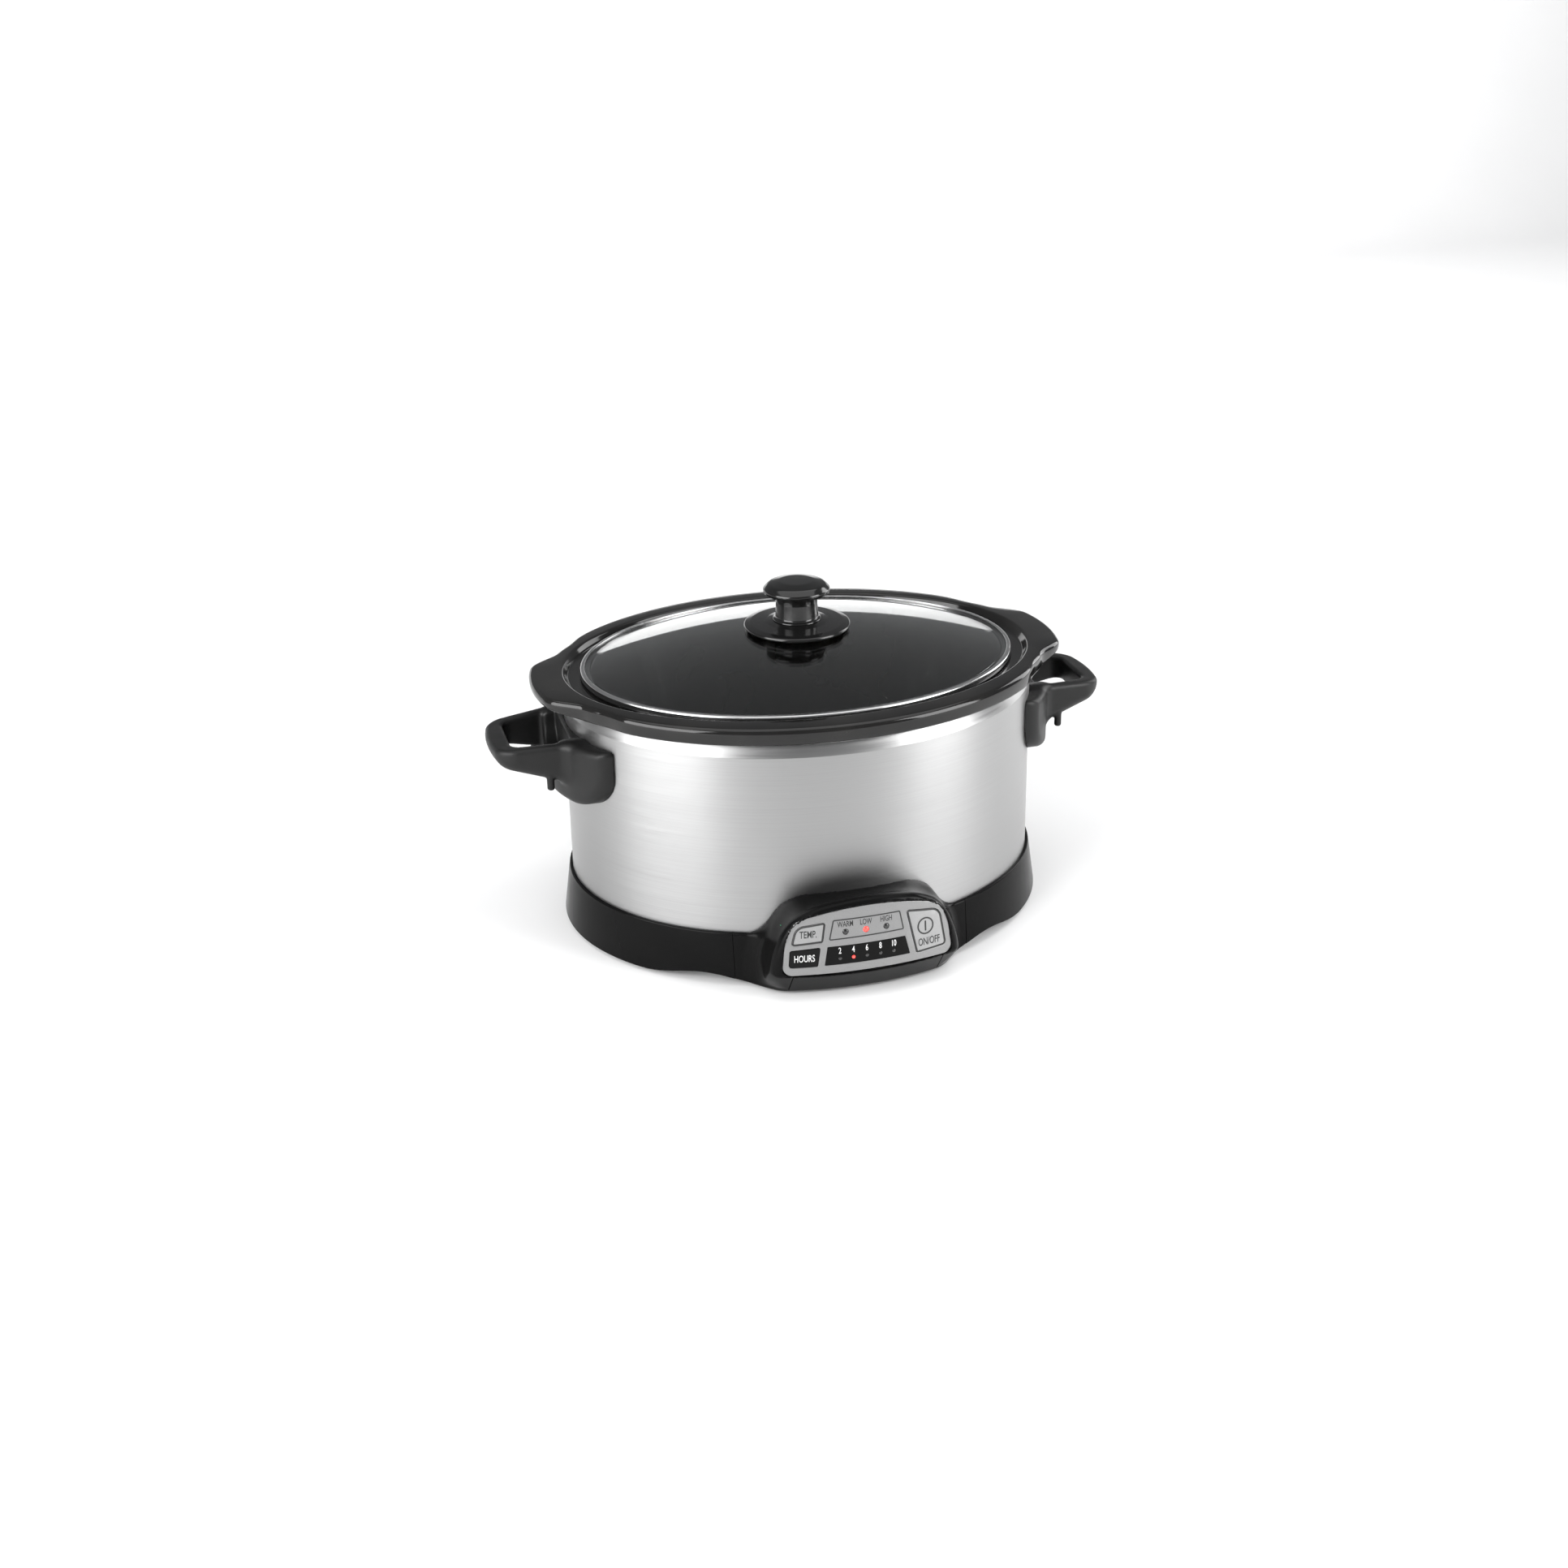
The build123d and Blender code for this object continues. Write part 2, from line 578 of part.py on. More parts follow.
def control_parts():
    outer = hood_solid() - shell_solid(-0.35, 0, SHELL_TOP_Z)
    cavity = hood_solid(HOUSING_WALL)
    walls = outer - cavity

    # this node's own length of the base ring and of the ledge that the shell stands on
    ring_piece = ring_wall() & front_window(HOUSING_HALF_WIDTH)
    ring_piece = ring_piece - Pos(0, -130, 20) * Box(122, 60, 80) - cavity
    cable_gap = Pos(-22, -120, 23) * Box(20, 40, 8)
    ledge = (ledge_solid() & front_window(HOUSING_HALF_WIDTH)) - cable_gap

    facia_seat = panel_block(facia_outline(0.3), -30, 5) & panel_skin(5.0, 5.1 + FACIA_THICK)
    window = panel_block(facia_outline(-2.2), -14, 5)
    opening = on_panel(facia_seat) + on_panel(window)
    strip_place = Pos(0, -150, STRIP_TOP_Z / 2)
    strip_gap = 0.2
    strip_room = Box(2 * (STRIP_HALF_WIDTH + strip_gap), 30, STRIP_TOP_Z + strip_gap)

    housing = walls + ring_piece - oval((139.0, 113.0), 0, 70) + ledge
    housing = drilled(housing, opening, strip_place * strip_room, *arch_cutter())
    save("control_housing", largest(housing))
    strip = (walls & strip_place * Box(2 * STRIP_HALF_WIDTH, 29.6, STRIP_TOP_Z)) - opening
    save("front_strip", largest(strip))


def key_shape(name, gap=0.0):
    outline = key_outline(*KEY_OUTLINES[name])
    return offset(outline, gap) if gap else outline


def panel_parts():
    skin = panel_skin(0.0, FACIA_THICK)
    facia = panel_block(facia_outline(), -25, 5) & skin
    for name in KEY_OUTLINES:
        facia = facia - panel_block(key_shape(name, KEY_GAP), -25, 5)
    window = make_face(Polyline(*HOUR_WINDOW, close=True))
    facia = facia - panel_block(offset(window, 0.05), -25, 5)
    led_holes = [Pos(x, LEVEL_LED_Y, 0) * Cylinder(LED_R + 0.1, 60) for x in LEVEL_LED_X]
    save("facia", on_panel(drilled(facia, *led_holes)))
    save("hours_window", on_panel(panel_block(window, -25, 5) & skin))

    switch_top = -BOARD_DEPTH + 1.6 + 4.3
    for name, (x, y) in KEY_CENTRES.items():
        cap = panel_block(key_shape(name), -25, 5) & panel_skin(0.0, FACIA_THICK)
        surface = math.sqrt((PANEL_RADIUS - FACIA_THICK / 2) ** 2 - x**2) - PANEL_RADIUS
        stem_low = switch_top + KEY_TRAVEL + 0.3
        stem = Pos(x, y, (surface + stem_low) / 2) * Cylinder(2.2, surface - stem_low)
        save(name, on_panel(cap + stem))

    board = Pos(-1, -1, -BOARD_DEPTH + 0.8) * Box(100, 26, 1.6)
    save("control_board", on_panel(board))
    switches = []
    for x, y in KEY_CENTRES.values():
        body = Pos(x, y, -BOARD_DEPTH + 1.6 + 1.8) * Box(6, 6, 3.6)
        switches.append(on_panel(body + Pos(x, y, -BOARD_DEPTH + 1.6 + 3.8) * Cylinder(1.7, 1.0)))
    save("key_switches", *switches)

    def lamp(x, y, top):
        low = -BOARD_DEPTH + 1.6
        stalk = Pos(x, y, (low + top - LED_R) / 2) * Cylinder(LED_R, top - LED_R - low)
        return on_panel(stalk + Pos(x, y, top - LED_R) * Sphere(LED_R))

    save("level_lamps", *[lamp(x, LEVEL_LED_Y, 0.2) for x in LEVEL_LED_X])
    hour_lamps = []
    for x in HOUR_LED_X:
        sag = PANEL_RADIUS - math.sqrt(PANEL_RADIUS**2 - x**2)
        hour_lamps.append(lamp(x, HOUR_LED_Y, -FACIA_THICK - sag - 0.3))
    save("hour_lamps", *hour_lamps)


# ---- handles -------------------------------------------------------------------------
def handle(side):
    """Backplate that hugs the shell, with a splayed loop grip and two strap pegs."""
    plate_x = HANDLE_PLATE_REACH - HANDLE_PLATE_FACE_R
    plate = rod(HANDLE_PLATE_FACE_R, HANDLE_PLATE_LOW_Z, HANDLE_PLATE_TOP_Z, plate_x)
    plate = plate & (Pos(150, 0, 118) * Box(60, 140, 100))
    height = HANDLE_PLATE_TOP_Z - HANDLE_PLATE_LOW_Z
    outline = Pos(0, HANDLE_PLATE_LOW_Z + height / 2) * Rectangle(HANDLE_PLATE_WIDTH, height)
    outline = fillet(outline.vertices().sort_by(Axis.Y)[:2], HANDLE_PLATE_CORNER_R)
    outline = fillet(outline.vertices().sort_by(Axis.Y)[-2:], 5)
    plate = plate & (Plane.YZ * extrude(outline, 220))
    plate = fillet(plate.faces().sort_by(Axis.X)[-1].edges(), 3.0)

    reach = HANDLE_REACH
    outer_side = Line((140, ARM_ROOT_Y + 1.2), (reach - 4.5, ARM_END_Y))
    bow = ThreePointArc((reach - 4.5, ARM_END_Y), (reach, 0), (reach - 4.5, -ARM_END_Y))
    outer = make_face(
        outer_side + bow + Polyline(bow @ 1, (140, -ARM_ROOT_Y - 1.2), (140, ARM_ROOT_Y + 1.2))
    )
    outer = fillet(outer.vertices().sort_by(Axis.X)[-2:], 9.0)
    inner_root = ARM_ROOT_Y + 1.2 - ARM_THICK
    inner_end = ARM_END_Y - ARM_THICK + 1.5
    inner = make_face(
        Polyline((152, inner_root), (187, inner_end), (187, -inner_end), (152, -inner_root), close=True)
    )
    inner = fillet(inner.vertices().sort_by(Axis.X)[-2:], 6.0)
    loop = extrude(Pos(0, 0, 100) * (outer - inner), 50)
    underside = [(140, 109), (161, 111), (176, 114.8), (189, 119.2), (195.5, 124), (reach + 1, 131)]
    upper = [(reach + 1, HANDLE_END_TOP_Z), (140, HANDLE_TOP_Z + 0.6)]
    loop = loop & prism_y(underside + upper, -60, 60)
    top_edges = loop.faces().sort_by(Axis.Z)[-1].edges()
    loop = fillet(top_edges.filter_by(lambda e: e.center().X > 142), 2.5)
    body = plate + loop - oval((SHELL_HALF[0] + 0.05, SHELL_HALF[1] + 0.05), 80, 160)
    for y in (-PEG_Y, PEG_Y):
        peg = rod(PEG_R, PEG_TIP_Z, PEG_ROOT_Z + 1, PEG_X, y)
        peg = fillet(peg.edges().group_by(Axis.Z)[0], 0.9)
        body = body + peg + rod(PEG_BOSS_R, PEG_ROOT_Z, PEG_BOSS_TOP_Z, PEG_X, y)
    pilots = [rod_x(1.6, 140, 162, y, HANDLE_SCREW_Z) for y in (-HANDLE_SCREW_Y, HANDLE_SCREW_Y)]
    body = drilled(body, *pilots)
    return body if side > 0 else Rot(0, 0, 180) * body


def handle_parts():
    save("handle_right", handle(1))
    save("handle_left", handle(-1))
    screws = []
    for side in (1, -1):
        for y in (-HANDLE_SCREW_Y, HANDLE_SCREW_Y):
            shank = rod_x(1.55, side * 142.2, side * 160, y, HANDLE_SCREW_Z)
            head = rod_x(3.6, side * 140.2, side * 142.4, y, HANDLE_SCREW_Z)
            screws.append(shank + head)
    save("handle_screws", *screws)


lid_parts()
crock()
housing_parts()
heater_leads()
base_parts()
electric_parts()
control_parts()
panel_parts()
handle_parts()
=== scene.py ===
"""Oval programmable slow cooker: the visible pieces, their materials and a plain studio.

Lengths in the shape code are millimetres about the oval pot's own upright axis, +X along
the handles and -Y towards the control panel. to_frame() turns them into the row frame.
"""
import itertools
import json
import math

import bmesh
import bpy
import numpy as np
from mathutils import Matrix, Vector


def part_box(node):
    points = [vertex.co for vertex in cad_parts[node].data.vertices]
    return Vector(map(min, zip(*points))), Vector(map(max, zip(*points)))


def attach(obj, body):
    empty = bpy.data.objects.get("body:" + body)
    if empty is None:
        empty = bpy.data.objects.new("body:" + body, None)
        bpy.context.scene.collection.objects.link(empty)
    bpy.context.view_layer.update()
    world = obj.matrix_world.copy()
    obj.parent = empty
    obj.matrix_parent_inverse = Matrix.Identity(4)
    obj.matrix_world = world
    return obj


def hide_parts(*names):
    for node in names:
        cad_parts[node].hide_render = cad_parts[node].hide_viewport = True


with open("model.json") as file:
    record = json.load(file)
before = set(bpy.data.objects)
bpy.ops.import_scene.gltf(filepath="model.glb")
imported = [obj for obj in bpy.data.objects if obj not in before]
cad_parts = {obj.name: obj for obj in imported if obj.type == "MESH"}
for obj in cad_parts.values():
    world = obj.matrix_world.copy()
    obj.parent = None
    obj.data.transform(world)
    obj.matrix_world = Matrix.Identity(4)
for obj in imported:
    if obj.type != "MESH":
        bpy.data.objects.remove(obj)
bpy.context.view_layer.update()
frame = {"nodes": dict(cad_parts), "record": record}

MM = 0.001
SEGMENTS = 288
TURN = np.linspace(0, 2 * math.pi, SEGMENTS, endpoint=False)


# ---- places and sizes read from the frame, in millimetres -------------------------------
def node_box(node):
    low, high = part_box(node)
    return np.array(low) / MM, np.array(high) / MM


CROCK_LOW, CROCK_HIGH = node_box("crock")
POT_Y = (CROCK_LOW[1] + CROCK_HIGH[1]) / 2
CROCK_BASE_Z, RIM_Z = CROCK_LOW[2], CROCK_HIGH[2]
RIM_HALF_Y = (CROCK_HIGH[1] - CROCK_LOW[1]) / 2
# the ears and handles are seen to reach a little past the CAD's
EXTRA_REACH = 2.2
EAR_REACH = CROCK_HIGH[0] + EXTRA_REACH

SHELL_LOW, SHELL_HIGH = node_box("outer_shell")
SHELL_HALF = (SHELL_HIGH[0], (SHELL_HIGH[1] - SHELL_LOW[1]) / 2)
SHELL_TOP_Z = SHELL_HIGH[2]
SHOULDER_HEIGHT = 7.2
SHOULDER_Z = SHELL_TOP_Z - SHOULDER_HEIGHT
SHOULDER_IN = 3.0

RING_LOW, RING_HIGH = node_box("base_ring")
RING_BOTTOM_Z, RING_TOP_Z = RING_LOW[2], RING_HIGH[2]
RING_BOTTOM_HALF = (RING_HIGH[0], RING_HIGH[1] - POT_Y)
LEDGE = 2.1
RING_TOP_HALF = (SHELL_HALF[0] + LEDGE, SHELL_HALF[1] + LEDGE)
RING_WALL = 2.6
HOUSING_HALF_WIDTH = node_box("control_housing")[1][0]
SEAM = 0.3

BAND_LOW, BAND_HIGH = node_box("lid_rim_band")
BAND_HALF = (BAND_HIGH[0], (BAND_HIGH[1] - BAND_LOW[1]) / 2)
GLASS_LOW, GLASS_HIGH = node_box("lid_glass")
SKIRT_LOW, SKIRT_HIGH = node_box("knob_skirt")
KNOB_LOW, KNOB_HIGH = node_box("lid_knob")

HANDLE_LOW, HANDLE_HIGH = node_box("handle_right")
HANDLE_REACH = HANDLE_HIGH[0] + EXTRA_REACH

# the panel's outer face: a tilted, slightly convex surface
PANEL_Y = -152.0
PANEL_Z = 37.5
PANEL_TILT = math.radians(6.0)
PANEL_RADIUS = 190.0
FACIA_THICK = 1.2
BORDER_PROUD = 1.0
STRIP_HALF_WIDTH = node_box("front_strip")[1][0]
STRIP_TOP_Z = node_box("front_strip")[1][2]

SLOT_OF = {s["node"]: s["material_slot"] for s in frame["record"]["subparts"]}


def to_frame(points):
    """Millimetres about the pot's axis to metres in the row frame."""
    return (np.asarray(points, float) + (0, POT_Y, 0)) * MM


# ---- node trees ----------------------------------------------------------------------
class Look:
    """One material and the few node patterns that the finishes share."""

    def __init__(self, name, color, roughness, metallic=0.0, **sockets):
        self.material = bpy.data.materials.new(name)
        self.material.use_nodes = True
        self.tree = self.material.node_tree
        self.shader = self.tree.nodes["Principled BSDF"]
        self.set("Base Color", (*color, 1))
        self.set("Roughness", roughness)
        self.set("Metallic", metallic)
        for socket, value in sockets.items():
            self.set(socket.replace("_", " "), value)

    def set(self, socket, value):
        self.shader.inputs[socket].default_value = value

    def add(self, kind, **settings):
        node = self.tree.nodes.new(kind)
        for key, value in settings.items():
            setattr(node, key, value)
        return node

    def link(self, output, target):
        self.tree.links.new(output, target)

    def noise(self, stretch, detail=3.0, rough=0.5):
        """Noise in object coordinates; stretch is the cycles per metre along X, Y and Z."""
        place = self.add("ShaderNodeTexCoord")
        mapping = self.add("ShaderNodeMapping")
        mapping.inputs["Scale"].default_value = stretch
        texture = self.add("ShaderNodeTexNoise")
        texture.inputs["Scale"].default_value = 1.0
        texture.inputs["Detail"].default_value = detail
        texture.inputs["Roughness"].default_value = rough
        self.link(place.outputs["Object"], mapping.inputs["Vector"])
        self.link(mapping.outputs["Vector"], texture.inputs["Vector"])
        return texture.outputs["Fac"]

    def spread(self, source, low, high, start=0.3, end=0.7):
        """Maps a 0 to 1 pattern onto low to high."""
        node = self.add("ShaderNodeMapRange")
        for socket, value in zip(("From Min", "From Max", "To Min", "To Max"), (start, end, low, high)):
            node.inputs[socket].default_value = value
        self.link(source, node.inputs["Value"])
        return node.outputs["Result"]

    def rough_from(self, source, low, high):
        self.link(self.spread(source, low, high), self.shader.inputs["Roughness"])

    def color_from(self, source, dark, light):
        ramp = self.add("ShaderNodeValToRGB")
        ramp.color_ramp.elements[0].position = 0.3
        ramp.color_ramp.elements[1].position = 0.7
        ramp.color_ramp.elements[0].color = (*dark, 1)
        ramp.color_ramp.elements[1].color = (*light, 1)
        self.link(source, ramp.inputs["Fac"])
        self.link(ramp.outputs["Color"], self.shader.inputs["Base Color"])

    def bump_from(self, source, depth_mm, strength=1.0):
        bump = self.add("ShaderNodeBump")
        bump.inputs["Strength"].default_value = strength
        bump.inputs["Distance"].default_value = depth_mm * MM
        self.link(source, bump.inputs["Height"])
        self.link(bump.outputs["Normal"], self.shader.inputs["Normal"])


def grey(level, warm=0.0):
    return (level * (1 + warm), level, level * (1 - warm))


def brushed_steel(name, level, rough, cycles, anisotropic=0.7):
    """Steel with brush lines that run level round the casing, so that light spreads up and down."""
    look = Look(name, grey(level), rough, 1.0, Anisotropic=anisotropic, Anisotropic_Rotation=0.25)
    lines = look.noise((9, 9, cycles), detail=6.0, rough=0.65)
    look.color_from(lines, grey(level * 0.93), grey(min(1.0, level * 1.05)))
    look.rough_from(lines, rough * 0.82, rough * 1.2)
    look.bump_from(lines, 0.006)
    return look.material


def rolled_steel():
    look = Look("rim_steel", grey(0.58), 0.20, 1.0)
    drawn = look.noise((70, 70, 2600), detail=4.0)
    look.rough_from(drawn, 0.14, 0.28)
    look.bump_from(drawn, 0.004)
    return look.material


def sheet_metal(name, color, rough, metallic=1.0):
    look = Look(name, color, rough, metallic)
    mottle = look.noise((60, 60, 60), detail=5.0)
    look.color_from(mottle, tuple(c * 0.88 for c in color), tuple(min(1, c * 1.08) for c in color))
    look.rough_from(mottle, rough * 0.8, rough * 1.25)
    look.bump_from(look.noise((900, 900, 900)), 0.006)
    return look.material


def glazed_stoneware():
    """Black glaze: deep gloss with the faint waviness and pinholes of a fired surface."""
    look = Look("glazed_stoneware", grey(0.010), 0.08, Specular_IOR_Level=0.36)
    pool = look.noise((28, 28, 28), detail=3.0)
    look.color_from(pool, grey(0.006), grey(0.012, 0.05))
    look.rough_from(look.noise((160, 160, 160), detail=5.0), 0.05, 0.12)
    look.bump_from(pool, 0.04, 0.5)
    return look.material


def moulded(name, color, rough, grain_mm, grain_cycles, shine=0.5):
    """Moulded plastic: a fine grain in the surface and a slight change of gloss."""
    look = Look(name, color, rough, Specular_IOR_Level=shine)
    grain = look.noise((grain_cycles,) * 3, detail=3.0, rough=0.6)
    look.rough_from(look.noise((55, 55, 55), detail=4.0), rough * 0.86, rough * 1.14)
    look.color_from(look.noise((18, 18, 18)), tuple(c * 0.85 for c in color), tuple(c * 1.12 for c in color))
    look.bump_from(grain, grain_mm)
    return look.material


def satin_silver(name, level):
    """Silver printed skin: fine metal flake under a satin lacquer."""
    look = Look(name, grey(level), 0.42, 0.75, Coat_Weight=0.15, Coat_Roughness=0.3)
    flake = look.noise((2600, 2600, 2600), detail=2.0)
    look.color_from(flake, grey(level * 0.91), grey(level * 1.09))
    look.rough_from(flake, 0.36, 0.48)
    look.bump_from(flake, 0.004)
    return look.material


def clear_glass():
    look = Look("lid_glass", (0.97, 0.985, 0.98), 0.0, Transmission_Weight=1.0, IOR=1.48,
                Specular_IOR_Level=0.32)
    smear = look.noise((14, 14, 30), detail=4.0)
    look.rough_from(smear, 0.0, 0.018)
    return look.material


def lamp(name, color, glow):
    look = Look(name, color, 0.18, Coat_Weight=0.5, Coat_Roughness=0.05)
    look.color_from(look.noise((900, 900, 900)), tuple(c * 0.8 for c in color), color)
    if glow:
        look.set("Emission Color", (1.0, 0.05, 0.04, 1))
        look.set("Emission Strength", glow)
    return look.material


def woven(name, color):
    look = Look(name, color, 0.9)
    weave = look.add("ShaderNodeTexChecker")
    weave.inputs["Scale"].default_value = 700
    place = look.add("ShaderNodeTexCoord")
    look.link(place.outputs["Object"], weave.inputs["Vector"])
    look.color_from(look.noise((300, 300, 300)), tuple(c * 0.8 for c in color), color)
    look.bump_from(weave.outputs["Fac"], 0.2)
    return look.material


LOOKS = {
    "shell_steel": brushed_steel("shell_steel", 0.38, 0.36, 2400),
    # shoulder band: the shell steel brushed coarser with less spread, and painted a shade darker for the
    # shade under the crock's lip
    "shoulder_steel_shaded": brushed_steel("shoulder_steel_shaded", 0.36, 0.36, 700, 0.3),
    "well_steel": sheet_metal("well_steel", grey(0.58), 0.38),
    "rim_steel": rolled_steel(),
    "glazed_stoneware": glazed_stoneware(),
    "lid_glass": clear_glass(),
    "knob_plastic": moulded("knob_plastic", grey(0.006), 0.13, 0.001, 1500),
    "handle_plastic": moulded("handle_plastic", grey(0.008), 0.42, 0.010, 2200, shine=0.24),
    "base_plastic": moulded("base_plastic", grey(0.004), 0.22, 0.002, 1800, shine=0.07),
    "facia_silver": satin_silver("facia_silver", 0.26),
    "key_silver": satin_silver("key_silver", 0.33),
    "key_black": moulded("key_black", grey(0.004), 0.35, 0.004, 1800, shine=0.15),
    "window_black": moulded("window_black", grey(0.003), 0.30, 0.002, 1800, shine=0.12),
    "ink_black": moulded("ink_black", grey(0.020), 0.55, 0.002, 2500),
    "ink_white": moulded("ink_white", grey(0.62), 0.55, 0.002, 2500),
    "lamp_off": lamp("lamp_off", grey(0.012), 0),
    "lamp_dim": lamp("lamp_dim", grey(0.020), 0),
    "lamp_red": lamp("lamp_red", (0.9, 0.05, 0.04), 1.6),
    "plate_steel": sheet_metal("plate_steel", grey(0.035), 0.45, 0.2),
    "galvanised": sheet_metal("galvanised", grey(0.52), 0.42),
    "screw_steel": sheet_metal("screw_steel", grey(0.60), 0.28),
    "foot_rubber": moulded("foot_rubber", grey(0.025), 0.75, 0.02, 900),
    "heater_mica": woven("heater_mica", (0.52, 0.47, 0.38)),
    "glass_wool": woven("glass_wool", (0.78, 0.74, 0.64)),
    "board_green": moulded("board_green", (0.03, 0.20, 0.09), 0.35, 0.004, 900),
    "part_black": moulded("part_black", grey(0.03), 0.5, 0.008, 1200),
    "relay_blue": moulded("relay_blue", (0.05, 0.14, 0.42), 0.35, 0.004, 1200),
    "capacitor_yellow": moulded("capacitor_yellow", (0.70, 0.50, 0.05), 0.4, 0.006, 1200),
    "terminal_green": moulded("terminal_green", (0.05, 0.32, 0.16), 0.4, 0.006, 1200),
    "silicone_white": moulded("silicone_white", grey(0.72, 0.03), 0.55, 0.01, 900),
    "ribbon_grey": moulded("ribbon_grey", grey(0.42), 0.5, 0.006, 900),
    "fuse_metal": sheet_metal("fuse_metal", grey(0.62, 0.04), 0.3),
}


# ---- mesh building -------------------------------------------------------------------
def finish_mesh(name, mesh, look, body, stands_for, crease):
    """Cleans a mesh in row-frame metres and makes it a piece of the object."""
    work = bmesh.new()
    work.from_mesh(mesh)
    bmesh.ops.remove_doubles(work, verts=work.verts, dist=2e-7)
    bmesh.ops.recalc_face_normals(work, faces=work.faces)
    work.to_mesh(mesh)
    work.free()
    mesh.shade_smooth()
    mesh.set_sharp_from_angle(angle=math.radians(crease))
    mesh.materials.append(LOOKS[look])
    made = bpy.data.objects.new(name, mesh)
    bpy.context.scene.collection.objects.link(made)
    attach(made, body)
    if stands_for:
        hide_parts(*stands_for)
    return made


def piece(name, points, faces, look, body, stands_for=(), crease=50):
    mesh = bpy.data.meshes.new(name)
    mesh.from_pydata(to_frame(points).tolist(), [], np.asarray(faces).tolist())
    return finish_mesh(name, mesh, look, body, stands_for, crease)


def oval(half, z):
    """Closed row of points round an oval; z may vary round it."""
    row = np.empty((SEGMENTS, 3))
    row[:, 0] = half[0] * np.cos(TURN)
    row[:, 1] = half[1] * np.sin(TURN)
    row[:, 2] = z
    return row


def rounded_rows(rows, radii, closed, steps=6):
    """Replaces each row that has a radius by the rows of an arc, point by point."""
    result = []
    for i, (row, radius) in enumerate(zip(rows, radii)):
        if not radius or (not closed and i in (0, len(rows) - 1)):
            result.append(row)
            continue
        back = rows[i - 1] - row
        ahead = rows[(i + 1) % len(rows)] - row
        back_length = np.linalg.norm(back, axis=1, keepdims=True)
        ahead_length = np.linalg.norm(ahead, axis=1, keepdims=True)
        cosine = np.sum(back * ahead, axis=1, keepdims=True) / (back_length * ahead_length)
        half_angle = np.arccos(np.clip(cosine, -1, 1)) / 2
        reach = radius / np.tan(half_angle)
        reach = np.minimum(reach, 0.49 * np.minimum(back_length, ahead_length))
        start = row + back / back_length * reach
        end = row + ahead / ahead_length * reach
        weight = np.sin(half_angle)
        for s in np.linspace(0, 1, steps):
            middle = 2 * s * (1 - s) * weight
            total = (1 - s) ** 2 + middle + s**2
            result.append(((1 - s) ** 2 * start + middle * row + s**2 * end) / total)
    return result


def grid_faces(row_count, closed):
    """Quads between neighbouring rows of SEGMENTS points."""
    faces = []
    for row in range(row_count if closed else row_count - 1):
        upper = (row + 1) % row_count
        for i in range(SEGMENTS):
            j = (i + 1) % SEGMENTS
            faces.append((row * SEGMENTS + i, row * SEGMENTS + j, upper * SEGMENTS + j, upper * SEGMENTS + i))
    return faces


def lofted(rows, radii, closed):
    """Points and faces of a surface through closed rows, with its corners rounded."""
    rows = rounded_rows(rows, radii, closed)
    return np.concatenate(rows), grid_faces(len(rows), closed)


def turned(profile, center_y=0.0):
    """Rows and radii of a (radius, z, corner radius) profile turned about a vertical axis."""
    rows = [oval((r, r), z) + (0, center_y, 0) for r, z, _ in profile]
    return rows, [corner for _, _, corner in profile]


# ---- shapes from distances -------------------------------------------------------------
# A distance function takes points (..., 3) and is negative inside the solid.
def round_union(a, b, radius):
    """Union with a concave fillet."""
    near = np.hypot(np.maximum(radius - a, 0), np.maximum(radius - b, 0))
    return np.maximum(radius, np.minimum(a, b)) - near


def round_both(a, b, radius):
    """Intersection with a rounded edge."""
    near = np.hypot(np.maximum(radius + a, 0), np.maximum(radius + b, 0))
    return np.minimum(-radius, np.maximum(a, b)) + near


def oval_distance(p, half):
    """Near distance to an upright oval wall; half may vary with height."""
    a, b = half
    q = np.hypot(p[..., 0] / a, p[..., 1] / b)
    slope = np.hypot(p[..., 0] / a**2, p[..., 1] / b**2) + 1e-9
    return (q - 1) * q / slope


def line_distance(x, y, start, end):
    """Distance from the line through start and end, positive on its right-hand side."""
    dx, dy = end[0] - start[0], end[1] - start[1]
    return ((x - start[0]) * dy - (y - start[1]) * dx) / math.hypot(dx, dy)


